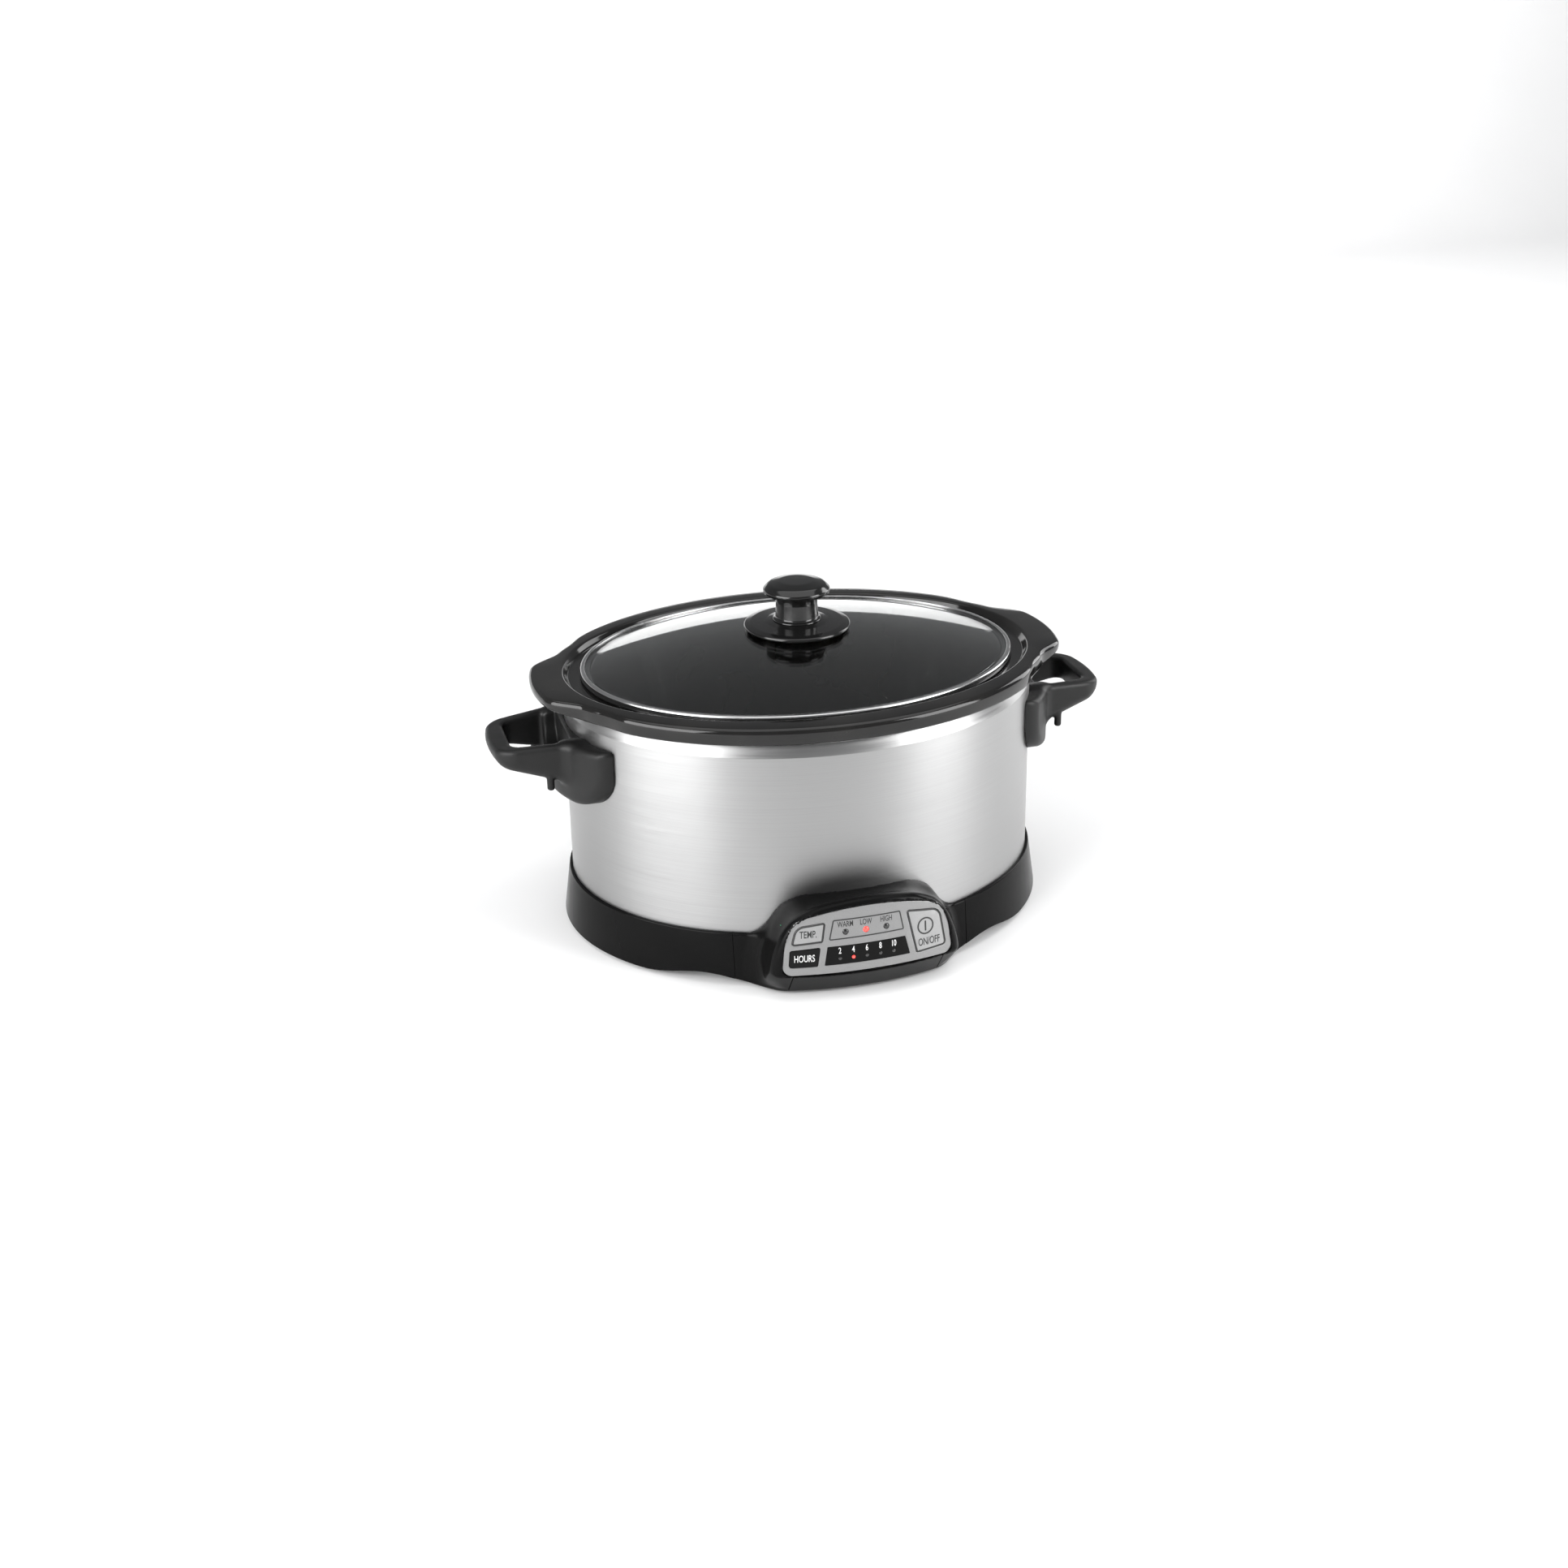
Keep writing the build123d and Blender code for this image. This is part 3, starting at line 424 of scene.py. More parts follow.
def skin(distance, low, high, step, passes=4):
    """Quads over the surface where distance is 0, slid exactly onto it and evened out."""
    axes = [np.arange(a, b + step, step) for a, b in zip(low, high)]
    grid = np.stack(np.meshgrid(*axes, indexing="ij"), axis=-1)
    value = distance(grid)
    inside = value < 0
    cells = np.array(inside.shape) - 1
    corners = list(itertools.product((0, 1), repeat=3))

    def at(array, corner):
        i, j, k = corner
        return array[i : i + cells[0], j : j + cells[1], k : k + cells[2]]

    filled = sum(at(inside, corner).astype(np.int8) for corner in corners)
    crossed = (filled > 0) & (filled < 8)
    number = np.full(cells, -1)
    number[crossed] = np.arange(crossed.sum())
    total = np.zeros((crossed.sum(), 3))
    hits = np.zeros((crossed.sum(), 1))
    for corner in corners:
        for axis in range(3):
            if corner[axis]:
                continue
            other = tuple(c + (k == axis) for k, c in enumerate(corner))
            a = at(value, corner)[crossed]
            b = at(value, other)[crossed]
            cut = (a < 0) != (b < 0)
            share = (a[cut] / (a[cut] - b[cut]))[:, None]
            here, there = at(grid, corner)[crossed][cut], at(grid, other)[crossed][cut]
            total[cut] += here + share * (there - here)
            hits[cut] += 1
    points = total / hits

    quads = []
    for axis in range(3):
        first = [slice(None)] * 3
        second = [slice(None)] * 3
        first[axis], second[axis] = slice(0, -1), slice(1, None)
        edges = np.argwhere(inside[tuple(first)] != inside[tuple(second)])
        u, v = (axis + 1) % 3, (axis + 2) % 3
        fits = (edges[:, u] > 0) & (edges[:, v] > 0) & (edges[:, u] < cells[u]) & (edges[:, v] < cells[v])
        edges = edges[fits]
        around = []
        for du, dv in ((-1, -1), (0, -1), (0, 0), (-1, 0)):
            cell = edges.copy()
            cell[:, u] += du
            cell[:, v] += dv
            around.append(number[tuple(cell.T)])
        quad = np.stack(around, axis=1)
        leaves = inside[tuple(edges.T)]
        quad[~leaves] = quad[~leaves][:, ::-1]
        quads.append(quad)
    quads = np.concatenate(quads)

    for _ in range(passes):
        points = settled(distance, evened(points, quads))
    return points, quads


def evened(points, quads):
    """Moves every point half-way to the mean of its neighbours."""
    total = np.zeros_like(points)
    count = np.zeros((len(points), 1))
    for a, b in ((0, 1), (1, 2), (2, 3), (3, 0)):
        for here, there in ((a, b), (b, a)):
            np.add.at(total, quads[:, here], points[quads[:, there]])
            np.add.at(count, quads[:, here], 1)
    return points + 0.5 * (total / count - points)


def settled(distance, points, reach=0.03):
    """Slides points along the distance's slope onto the surface."""
    for _ in range(2):
        slope = np.empty_like(points)
        for axis in range(3):
            shift = np.zeros(3)
            shift[axis] = reach
            slope[:, axis] = (distance(points + shift) - distance(points - shift)) / (2 * reach)
        steep = np.maximum(np.sum(slope**2, axis=1, keepdims=True), 0.05)
        points = points - distance(points)[:, None] * slope / steep
    return points


# ---- crock -----------------------------------------------------------------------------
POT_STRETCH = (1.124, 0.880)
RIM_HALF_X = 160.0
LIP_Z = 157.2
LEDGE_Z = 163.2
RECESS_TOP_HALF = (150.5, 111.5)
RECESS_FLOOR_HALF = (147.0, 110.2)
# degrees round from the rim's end: where an ear stops, and the waist beside it
EAR_ANGLE = 18.3
EAR_BLEND = 9.0
WAIST_ANGLE = 24.5
WAIST_WIDTH = 4.5
WAIST_DEPTH = 1.9


def pot_oval(radius, z):
    return oval((radius * POT_STRETCH[0], radius * POT_STRETCH[1]), z)


def ear_share():
    """0 on the plain oval rim, 1 on the ears at its two ends."""
    along = np.degrees(np.arctan2(RIM_HALF_Y * np.abs(np.sin(TURN)), RIM_HALF_X * np.abs(np.cos(TURN))))
    rise = np.clip((EAR_ANGLE - along) / EAR_BLEND, 0, 1)
    return rise * rise * (3 - 2 * rise), along


def rim_row(z, inset=0.0):
    """The rim's outline: an oval with a broad ear at each end and a slight waist beside it."""
    ear, along = ear_share()
    row = oval((RIM_HALF_X - inset, RIM_HALF_Y - inset), z)
    length = np.hypot(row[:, 0], row[:, 1])
    waist = np.exp(-(((along - WAIST_ANGLE) / WAIST_WIDTH) ** 2))
    grown = length + (EAR_REACH - RIM_HALF_X) * ear - WAIST_DEPTH * waist
    row[:, :2] *= (grown / length)[:, None]
    return row


def build_crock():
    ear, _ = ear_share()
    rows = [
        pot_oval(0.0, 48.0),
        pot_oval(104.5, 48.0),
        pot_oval(117.6, LEDGE_Z),
        oval(RECESS_FLOOR_HALF, LEDGE_Z),
        oval(RECESS_TOP_HALF, RIM_Z),
        rim_row(RIM_Z - 0.7),
        rim_row(LIP_Z + 4.0 * ear, 0.6),
        pot_oval(125.0, LIP_Z + 1.4),
        pot_oval(112.5, CROCK_BASE_Z),
        pot_oval(0.0, CROCK_BASE_Z),
    ]
    radii = [0, 26, 2.0, 1.6, 2.4, 3.4, 1.8, 2.0, 14, 0]
    points, faces = lofted(rows, radii, closed=False)
    piece("crock_body", points, faces, "glazed_stoneware", "crock", stands_for=["crock"], crease=60)


# ---- lid ---------------------------------------------------------------------------------
LID_STRETCH = (1.1354, 0.8809)
GLASS_THICK = 3.4
DOME_R = 117.0
GLASS_R = 121.8


def lid_oval(radius, z):
    return oval((radius * LID_STRETCH[0], radius * LID_STRETCH[1]), z)


def build_lid():
    apex = GLASS_HIGH[2]
    flat = GLASS_LOW[2] + GLASS_THICK
    rise = apex - flat
    steps = np.linspace(3.2, DOME_R, 26)
    top = [lid_oval(r, flat + rise * (1 - (r / DOME_R) ** 2)) for r in steps]
    under = [lid_oval(r, flat - GLASS_THICK + rise * (1 - (r / DOME_R) ** 2)) for r in steps[::-1]]
    edge = [lid_oval(GLASS_R, flat), lid_oval(GLASS_R, flat - GLASS_THICK)]
    rows = top + edge + under
    radii = [0] * (len(top) - 1) + [3.0, 0.6, 0.6, 3.0] + [0] * (len(under) - 1)
    points, faces = lofted(rows, radii, closed=True)
    piece("lid_dome", points, faces, "lid_glass", "lid", stands_for=["lid_glass"], crease=40)

    width = 2.9
    low, high = BAND_LOW[2], BAND_HIGH[2]
    lip = 0.5
    inner = (BAND_HALF[0] - width, BAND_HALF[1] - width)
    rows = [
        oval(BAND_HALF, low),
        oval(BAND_HALF, high),
        oval(inner, high),
        oval(inner, flat + 0.02),
        oval((BAND_HALF[0] - lip, BAND_HALF[1] - lip), flat + 0.02),
        oval((BAND_HALF[0] - lip, BAND_HALF[1] - lip), GLASS_LOW[2] - 0.02),
        oval(inner, GLASS_LOW[2] - 0.02),
        oval(inner, low),
    ]
    points, faces = lofted(rows, [1.3, 1.4, 0.5, 0, 0, 0, 0, 0.4], closed=True)
    piece("lid_band", points, faces, "rim_steel", "lid", stands_for=["lid_rim_band"])


def build_knob():
    low, top = SKIRT_LOW[2] + 1.72, KNOB_HIGH[2]
    skirt_r = SKIRT_HIGH[0]
    neck_z = KNOB_LOW[2]
    skirt = [
        (2.4, low, 0),
        (17.0, low, 2.0),
        (19.5, low - 0.6, 1.0),
        (skirt_r - 2.2, low - 1.7, 1.2),
        (skirt_r, low - 0.4, 1.2),
        (skirt_r - 0.3, low + 1.3, 1.1),
        (skirt_r - 4.5, low + 2.3, 4.0),
        (20.0, low + 3.0, 6.0),
        (16.0, neck_z, 0.8),
        (2.4, neck_z, 0),
    ]
    rows, radii = turned(skirt)
    points, faces = lofted(rows, radii, closed=True)
    piece("lid_skirt", points, faces, "knob_plastic", "lid", stands_for=["knob_skirt"], crease=60)

    cap_r = KNOB_HIGH[0]
    knob = [
        (0.0, neck_z + 0.01, 0),
        (15.4, neck_z + 0.01, 0.4),
        (15.2, neck_z + 0.9, 0.5),
        (13.6, neck_z + 1.9, 1.6),
        (13.2, top - 14.0, 3.0),
        (13.6, top - 10.2, 2.0),
        (17.4, top - 9.2, 1.6),
        (cap_r - 0.8, top - 7.9, 1.6),
        (cap_r + 0.1, top - 5.4, 1.8),
        (cap_r - 3.4, top - 1.9, 5.0),
        (10.5, top - 0.25, 14.0),
        (0.0, top, 0),
    ]
    rows, radii = turned(knob)
    points, faces = lofted(rows, radii, closed=False)
    piece("knob_cap", points, faces, "knob_plastic", "lid", stands_for=["lid_knob"], crease=60)


# ---- casing -------------------------------------------------------------------------------
SHELL_WALL = 0.8


def build_shell():
    """Side wall, a shoulder that leans in, and a rolled edge under the crock's lip."""
    low = SHELL_LOW[2]

    def ring(inset, z):
        return oval((SHELL_HALF[0] - inset, SHELL_HALF[1] - inset), z)

    rows = [
        ring(0, low),
        ring(0, SHOULDER_Z),
        ring(SHOULDER_IN, SHELL_TOP_Z),
        ring(SHOULDER_IN + SHELL_WALL, SHELL_TOP_Z),
        ring(SHELL_WALL, SHOULDER_Z),
        ring(SHELL_WALL, low),
    ]
    points, faces = lofted(rows, [0.3, 1.2, 0.35, 0.35, 0.8, 0.3], closed=True)
    shell = piece("casing", points, faces, "shell_steel", "housing", stands_for=["outer_shell"], crease=60)
    # faces above the shoulder take the darker copy of the steel: painted shade under the crock's lip
    shell.data.materials.append(LOOKS["shoulder_steel_shaded"])
    shoulder = (SHOULDER_Z + 0.3) * MM
    for face in shell.data.polygons:
        if face.center.z > shoulder:
            face.material_index = 1


ARCH_X = 92.5
ARCH_HALF_LENGTH = 33.0
ARCH_HEIGHT = 5.2


def arch_rise(x):
    """How far the base's lower edge lifts between the foot and the control housing."""
    along = np.clip((np.abs(x) - ARCH_X) / ARCH_HALF_LENGTH, -1, 1)
    return ARCH_HEIGHT * np.cos(along * math.pi / 2) ** 2


def build_base():
    """The flared base, open at the front where the control housing fits in."""
    def ring(half, inset, z):
        return oval((half[0] - inset, half[1] - inset), z)

    def bottom(inset):
        row = ring(RING_BOTTOM_HALF, inset, RING_BOTTOM_Z)
        row[:, 2] += arch_rise(row[:, 0])
        return row

    rows = [
        ring(SHELL_HALF, -0.15, RING_TOP_Z),
        ring(RING_TOP_HALF, 0, RING_TOP_Z),
        bottom(0),
        bottom(RING_WALL),
        ring(SHELL_HALF, -0.15, RING_TOP_Z - 5),
    ]
    points, faces = lofted(rows, [0.2, 1.2, 1.3, 0.6, 1.0], closed=True)
    ring_piece = piece("base_skirt", points, faces, "base_plastic", "housing", stands_for=["base_ring"])

    work = bmesh.new()
    work.from_mesh(ring_piece.data)
    edge = (HOUSING_HALF_WIDTH + SEAM / 2) * MM
    for side in (-1, 1):
        parts = work.verts[:] + work.edges[:] + work.faces[:]
        bmesh.ops.bisect_plane(work, geom=parts, plane_co=(side * edge, 0, 0), plane_no=(side, 0, 0))
    front = [f for f in work.faces if abs(f.calc_center_median().x) < edge and f.calc_center_median().y < 0]
    bmesh.ops.delete(work, geom=front, context="FACES")
    rim = [e for e in work.edges if e.is_boundary]
    bmesh.ops.holes_fill(work, edges=rim, sides=0)
    bmesh.ops.recalc_face_normals(work, faces=work.faces)
    work.to_mesh(ring_piece.data)
    work.free()
    ring_piece.data.set_sharp_from_angle(angle=math.radians(50))


# ---- control housing -----------------------------------------------------------------------
def panel_axes(p):
    """Across, up the panel and outwards, measured from the middle of the panel's face."""
    y = p[..., 1] - PANEL_Y
    z = p[..., 2] - PANEL_Z
    sine, cosine = math.sin(PANEL_TILT), math.cos(PANEL_TILT)
    return p[..., 0], y * sine + z * cosine, -y * cosine + z * sine


def bow_distance(u, w, proud):
    """Distance from the convex surface that stands proud of the panel's face."""
    return np.hypot(u, w + PANEL_RADIUS) - (PANEL_RADIUS + proud)


SIDE_LINE = ((54.0, -17.5), (50.6, 9.0))
CORNER_LINE = ((50.6, 9.0), (44.0, 17.0))
ARCH_TOP = 23.4
ARCH_RADIUS = 154.5
# the hood's shoulder and top where it meets the casing, as across and height
HOOD_SHOULDER = ((60.0, 40.5), (41.0, 58.7))
HOOD_TOP_Z = 59.8
HOOD_HALF_WIDTH = 60.5
HOOD_DEPTH = 26.0
HOOD_OVERLAP = 5.4
# the front under the facia leans back from its nose and is bowed
NOSE_Y = -154.9
NOSE_Z = 19.2
NOSE_LEAN = math.atan2(13.8, 17.6)
NOSE_BOW_R = 235.0
SEAT_WALL = 4.2
WINDOW_LEDGE = 2.5
WINDOW_DEPTH = 14.0


def facia_sides(u, v, corner):
    """Distance from the facia's sides and arched top, with no lower edge."""
    side = line_distance(np.abs(u), v, *SIDE_LINE)
    chamfer = line_distance(np.abs(u), v, *CORNER_LINE)
    arch = np.hypot(u, v - ARCH_TOP + ARCH_RADIUS) - ARCH_RADIUS
    return round_both(round_both(side, chamfer, corner), arch, corner)


def housing_body(p):
    """Bulge round the panel, blended into the flared base."""
    u, v, w = panel_axes(p)
    depth = np.maximum(-w, 0)
    crown_front = facia_sides(u, v + 0.10 * depth, 7.0) - HOOD_OVERLAP
    shoulder = line_distance(np.abs(u), p[..., 2], *HOOD_SHOULDER)
    crown_back = round_both(shoulder, p[..., 2] - HOOD_TOP_Z, 7.0)
    crown_back = round_both(crown_back, np.abs(u) - HOOD_HALF_WIDTH, 14.0)
    share = np.clip(depth / HOOD_DEPTH, 0, 1)
    share = share * share * (3 - 2 * share)
    crown = (1 - share) * crown_front + share * crown_back
    front = bow_distance(u, w, BORDER_PROUD)

    y, z = p[..., 1] - NOSE_Y, p[..., 2] - NOSE_Z
    out = -y * math.cos(NOSE_LEAN) - z * math.sin(NOSE_LEAN)
    lower = np.hypot(p[..., 0], out + NOSE_BOW_R) - NOSE_BOW_R
    face = round_both(front, lower, 1.2)

    low_part = np.clip((-16.0 - v) / 14.0, 0, 1)
    high_part = np.clip((v - 8.0) / 14.0, 0, 1)
    edge = 4.6 + 8.0 * low_part**2 + 1.6 * high_part
    bulge = round_both(crown, face, edge)

    share = (RING_TOP_Z - p[..., 2]) / (RING_TOP_Z - RING_BOTTOM_Z)
    half = [t + (b - t) * share for t, b in zip(RING_TOP_HALF, RING_BOTTOM_HALF)]
    flare = round_both(oval_distance(p, half), p[..., 2] - RING_TOP_Z, 0.9)
    return round_union(bulge, flare, 11.0)


def housing_distance(p):
    """Hollow housing with a seat for the facia and a window behind the keys."""
    u, v, w = panel_axes(p)
    body = housing_body(p)
    floor = RING_BOTTOM_Z + arch_rise(p[..., 0]) - p[..., 2]
    solid = round_both(body, floor, 1.3)
    casing = oval_distance(p, (SHELL_HALF[0] - 0.45, SHELL_HALF[1] - 0.45))
    solid = np.maximum(solid, -casing)
    hollow = np.maximum(np.maximum(body + RING_WALL, 1.0 - casing), bow_distance(u, w, -SEAT_WALL))
    solid = np.maximum(solid, -hollow)
    outline = round_both(facia_sides(u, v, 6.0), -17.5 - v, 5.5)
    window = np.maximum(outline + WINDOW_LEDGE, -WINDOW_DEPTH - w)
    solid = np.maximum(solid, -window)
    seat = np.maximum(outline - 0.35, -bow_distance(u, w, -FACIA_THICK - 0.1))
    return round_both(solid, -seat, 0.45)


def cut_box(name, low, high):
    mesh = bpy.data.meshes.new(name)
    corners = [to_frame(c) for c in itertools.product(*zip(low, high))]
    mesh.from_pydata([tuple(c) for c in corners], [], [
        (0, 1, 3, 2), (4, 6, 7, 5), (0, 4, 5, 1), (2, 3, 7, 6), (0, 2, 6, 4), (1, 5, 7, 3),
    ])
    box = bpy.data.objects.new(name, mesh)
    bpy.context.scene.collection.objects.link(box)
    return box


def boolean(target, cutter, operation):
    """Applies one boolean and puts the result back in the target's mesh."""
    modifier = target.modifiers.new("cut", "BOOLEAN")
    modifier.object = cutter
    modifier.operation = operation
    modifier.solver = "EXACT"
    graph = bpy.context.evaluated_depsgraph_get()
    result = bpy.data.meshes.new_from_object(target.evaluated_get(graph))
    target.modifiers.remove(modifier)
    target.data = result
    bpy.data.objects.remove(cutter)


def build_housing():
    edge = HOUSING_HALF_WIDTH - SEAM / 2
    points, faces = skin(housing_distance, (-edge - 4, -162, -1), (edge + 4, -86, 70), 1.0)
    housing = piece("hood", points, faces, "base_plastic", "housing", stands_for=["control_housing"])
    strip = piece("strip", points, faces, "base_plastic", "housing", stands_for=["front_strip"])
    far = 200
    boolean(housing, cut_box("trim", (-edge, -far, -far), (edge, far, far)), "INTERSECT")
    gap = 0.55
    half = STRIP_HALF_WIDTH
    room = cut_box("room", (-half - gap, -far, -far), (half + gap, -124, STRIP_TOP_Z + gap - 0.2))
    boolean(housing, room, "DIFFERENCE")
    boolean(strip, cut_box("trim", (-half, -far, -far), (half, -124.3, STRIP_TOP_Z - 0.2)), "INTERSECT")
    for part in (housing, strip):
        part.data.shade_smooth()
        part.data.set_sharp_from_angle(angle=math.radians(48))


# ---- panel ----------------------------------------------------------------------------------
def on_panel(points):
    """Points given as across, up and outwards on the convex face, in millimetres about the pot."""
    points = np.asarray(points, float)
    u, v, w = points[:, 0], points[:, 1], points[:, 2]
    w = w - PANEL_RADIUS + np.sqrt(PANEL_RADIUS**2 - u**2)
    sine, cosine = math.sin(PANEL_TILT), math.cos(PANEL_TILT)
    return np.stack((u, PANEL_Y + v * sine - w * cosine, PANEL_Z + v * cosine + w * sine), axis=1)


def rounded_outline(corners, radii, steps=7):
    """Flat outline, counter-clockwise, with an arc at each corner."""
    rows = [np.array([[x, y, 0.0]]) for x, y in corners]
    return np.concatenate(rounded_rows(rows, radii, closed=True, steps=steps))[:, :2]


def flat_piece(name, outlines, low, high, look, body, stands_for=(), bevel=0.0):
    """A plate between two depths on the panel; outlines inside the first are its holes."""
    curve = bpy.data.curves.new(name, "CURVE")
    curve.dimensions = "2D"
    curve.fill_mode = "BOTH"
    curve.extrude = (high - low) / 2 - bevel
    curve.bevel_depth = bevel
    curve.bevel_resolution = 2
    curve.offset = -bevel
    for outline in outlines:
        spline = curve.splines.new("POLY")
        spline.points.add(len(outline) - 1)
        for point, (x, y) in zip(spline.points, outline):
            point.co = (x, y, 0, 1)
        spline.use_cyclic_u = True
    return bend_curve(name, curve, (low + high) / 2, look, body, stands_for)


def bend_curve(name, curve, middle, look, body, stands_for=()):
    """Turns a flat curve or text into a mesh and lays it on the panel's bowed face."""
    holder = bpy.data.objects.new(name + "_flat", curve)
    bpy.context.scene.collection.objects.link(holder)
    graph = bpy.context.evaluated_depsgraph_get()
    mesh = bpy.data.meshes.new_from_object(holder.evaluated_get(graph))
    bpy.data.objects.remove(holder)
    work = bmesh.new()
    work.from_mesh(mesh)
    for cut in np.arange(-52.0, 53.0, 4.0):
        parts = work.verts[:] + work.edges[:] + work.faces[:]
        bmesh.ops.bisect_plane(work, geom=parts, plane_co=(cut, 0, 0), plane_no=(1, 0, 0))
    places = on_panel([(v.co.x, v.co.y, v.co.z + middle) for v in work.verts])
    for vertex, place in zip(work.verts, to_frame(places)):
        vertex.co = place
    work.to_mesh(mesh)
    work.free()
    mesh.materials.clear()
    return finish_mesh(name, mesh, look, body, stands_for, 35)


def facia_outline():
    side_low, side_high = SIDE_LINE
    corner = CORNER_LINE[1]
    right = [side_low, side_high, corner]
    arch = []
    for x in np.linspace(36, -36, 25):
        arch.append((x, ARCH_TOP - ARCH_RADIUS + math.sqrt(ARCH_RADIUS**2 - x**2)))
    left = [(-x, y) for x, y in reversed(right)]
    radii = [5.5, 6.0, 6.0] + [0] * len(arch) + [6.0, 6.0, 5.5]
    return rounded_outline(right + arch + left, radii)


KEYS = {
    "temp_key": (((-47.6, 1.8), (-29.3, 3.0), (-27.4, 15.0), (-44.5, 13.2)), (1.5, 1.0, 1.2, 6.5)),
    "hours_key": (((-49.4, -12.2), (-32.8, -12.2), (-30.9, -0.8), (-48.4, -1.8)), (1.5, 0.8, 0.8, 1.2)),
    "power_key": (((29.5, -12.6), (49.4, -11.4), (45.6, 12.6), (23.6, 15.6)), (1.0, 2.2, 7.0, 1.2)),
}
LEVEL_FRAME = (((-25.6, 3.5), (21.6, 4.1), (19.3, 16.6), (-22.7, 16.4)), (1.0, 1.0, 1.2, 1.2))
HOUR_WINDOW = (((-28.5, -12.3), (24.9, -12.2), (22.1, -0.4), (-26.4, -0.6)), (0.4, 0.4, 0.4, 0.4))
LEVELS = (("warm", -15.2), ("low", -2.6), ("high", 10.2))
LEVEL_LED_Y = 8.1
HOURS = ((2, -19.1), (4, -10.9), (6, -2.5), (8, 6.0), (10, 14.5))
HOUR_LED_Y = -8.5
LED_R = 1.75


def shrunk(outline, amount):
    """The outline drawn in by amount along its normals."""
    ahead = np.roll(outline, -1, axis=0) - outline
    back = outline - np.roll(outline, 1, axis=0)
    ahead = ahead / np.linalg.norm(ahead, axis=1, keepdims=True)
    back = back / np.linalg.norm(back, axis=1, keepdims=True)
    along = ahead + back
    along /= np.linalg.norm(along, axis=1, keepdims=True)
    inward = np.stack((-along[:, 1], along[:, 0]), axis=1)
    return outline + inward * amount


def ring_outline(radius, x=0.0, y=0.0, count=40):
    turn = np.linspace(0, 2 * math.pi, count, endpoint=False)
    return np.stack((x + radius * np.cos(turn), y + radius * np.sin(turn)), axis=1)


def lettering(name, text, x, y, height, squeeze, depth, look, body, shear=0.0):
    """Raised print, centred on a place on the panel."""
    curve = bpy.data.curves.new(name, "FONT")
    curve.body = text
    curve.align_x = "CENTER"
    curve.align_y = "CENTER"
    curve.size = height * 1.38
    curve.offset = 0.05
    curve.resolution_u = 4
    flat = bpy.data.objects.new(name + "_text", curve)
    bpy.context.scene.collection.objects.link(flat)
    graph = bpy.context.evaluated_depsgraph_get()
    mesh = bpy.data.meshes.new_from_object(flat.evaluated_get(graph))
    bpy.data.objects.remove(flat)
    work = bmesh.new()
    work.from_mesh(mesh)
    bmesh.ops.remove_doubles(work, verts=work.verts, dist=1e-4)
    grown = bmesh.ops.extrude_face_region(work, geom=work.faces[:])
    for element in grown["geom"]:
        if isinstance(element, bmesh.types.BMVert):
            element.co.z += 0.10
    places = []
    for v in work.verts:
        places.append((x + v.co.x * squeeze + v.co.y * shear, y + v.co.y, depth + v.co.z))
    for vertex, place in zip(work.verts, to_frame(on_panel(places))):
        vertex.co = place
    work.to_mesh(mesh)
    work.free()
    mesh.materials.clear()
    return finish_mesh(name, mesh, look, body, (), 30)


def build_lamp(name, x, y, top, look, node):
    """A domed lamp lens standing just through its hole."""
    rows = []
    for angle in np.linspace(0, math.pi / 2, 7):
        rows.append(ring_outline(LED_R * math.cos(angle)) if angle < 1.5 else ring_outline(0.0))
    heights = [top - LED_R * 0.5 + LED_R * 0.5 * math.sin(a) for a in np.linspace(0, math.pi / 2, 7)]
    low = ring_outline(LED_R)
    layers = [(low, top - 3.0)] + list(zip(rows, heights))
    points = []
    for ring, depth in layers:
        points += [(x + px, y + py, depth) for px, py in ring]
    count = len(low)
    faces = []
    for layer in range(len(layers) - 1):
        for i in range(count):
            j = (i + 1) % count
            low_edge, high_edge = layer * count, (layer + 1) * count
            faces.append((low_edge + i, low_edge + j, high_edge + j, high_edge + i))
    points.append((x, y, top - 3.0))
    faces += [(len(points) - 1, (i + 1) % count, i, i) for i in range(count)]
    faces = [f if len(set(f)) == 4 else f[:3] for f in faces]
    mesh = bpy.data.meshes.new(name)
    mesh.from_pydata(to_frame(on_panel(points)).tolist(), [], faces)
    return finish_mesh(name, mesh, look, "housing", [node], 60)


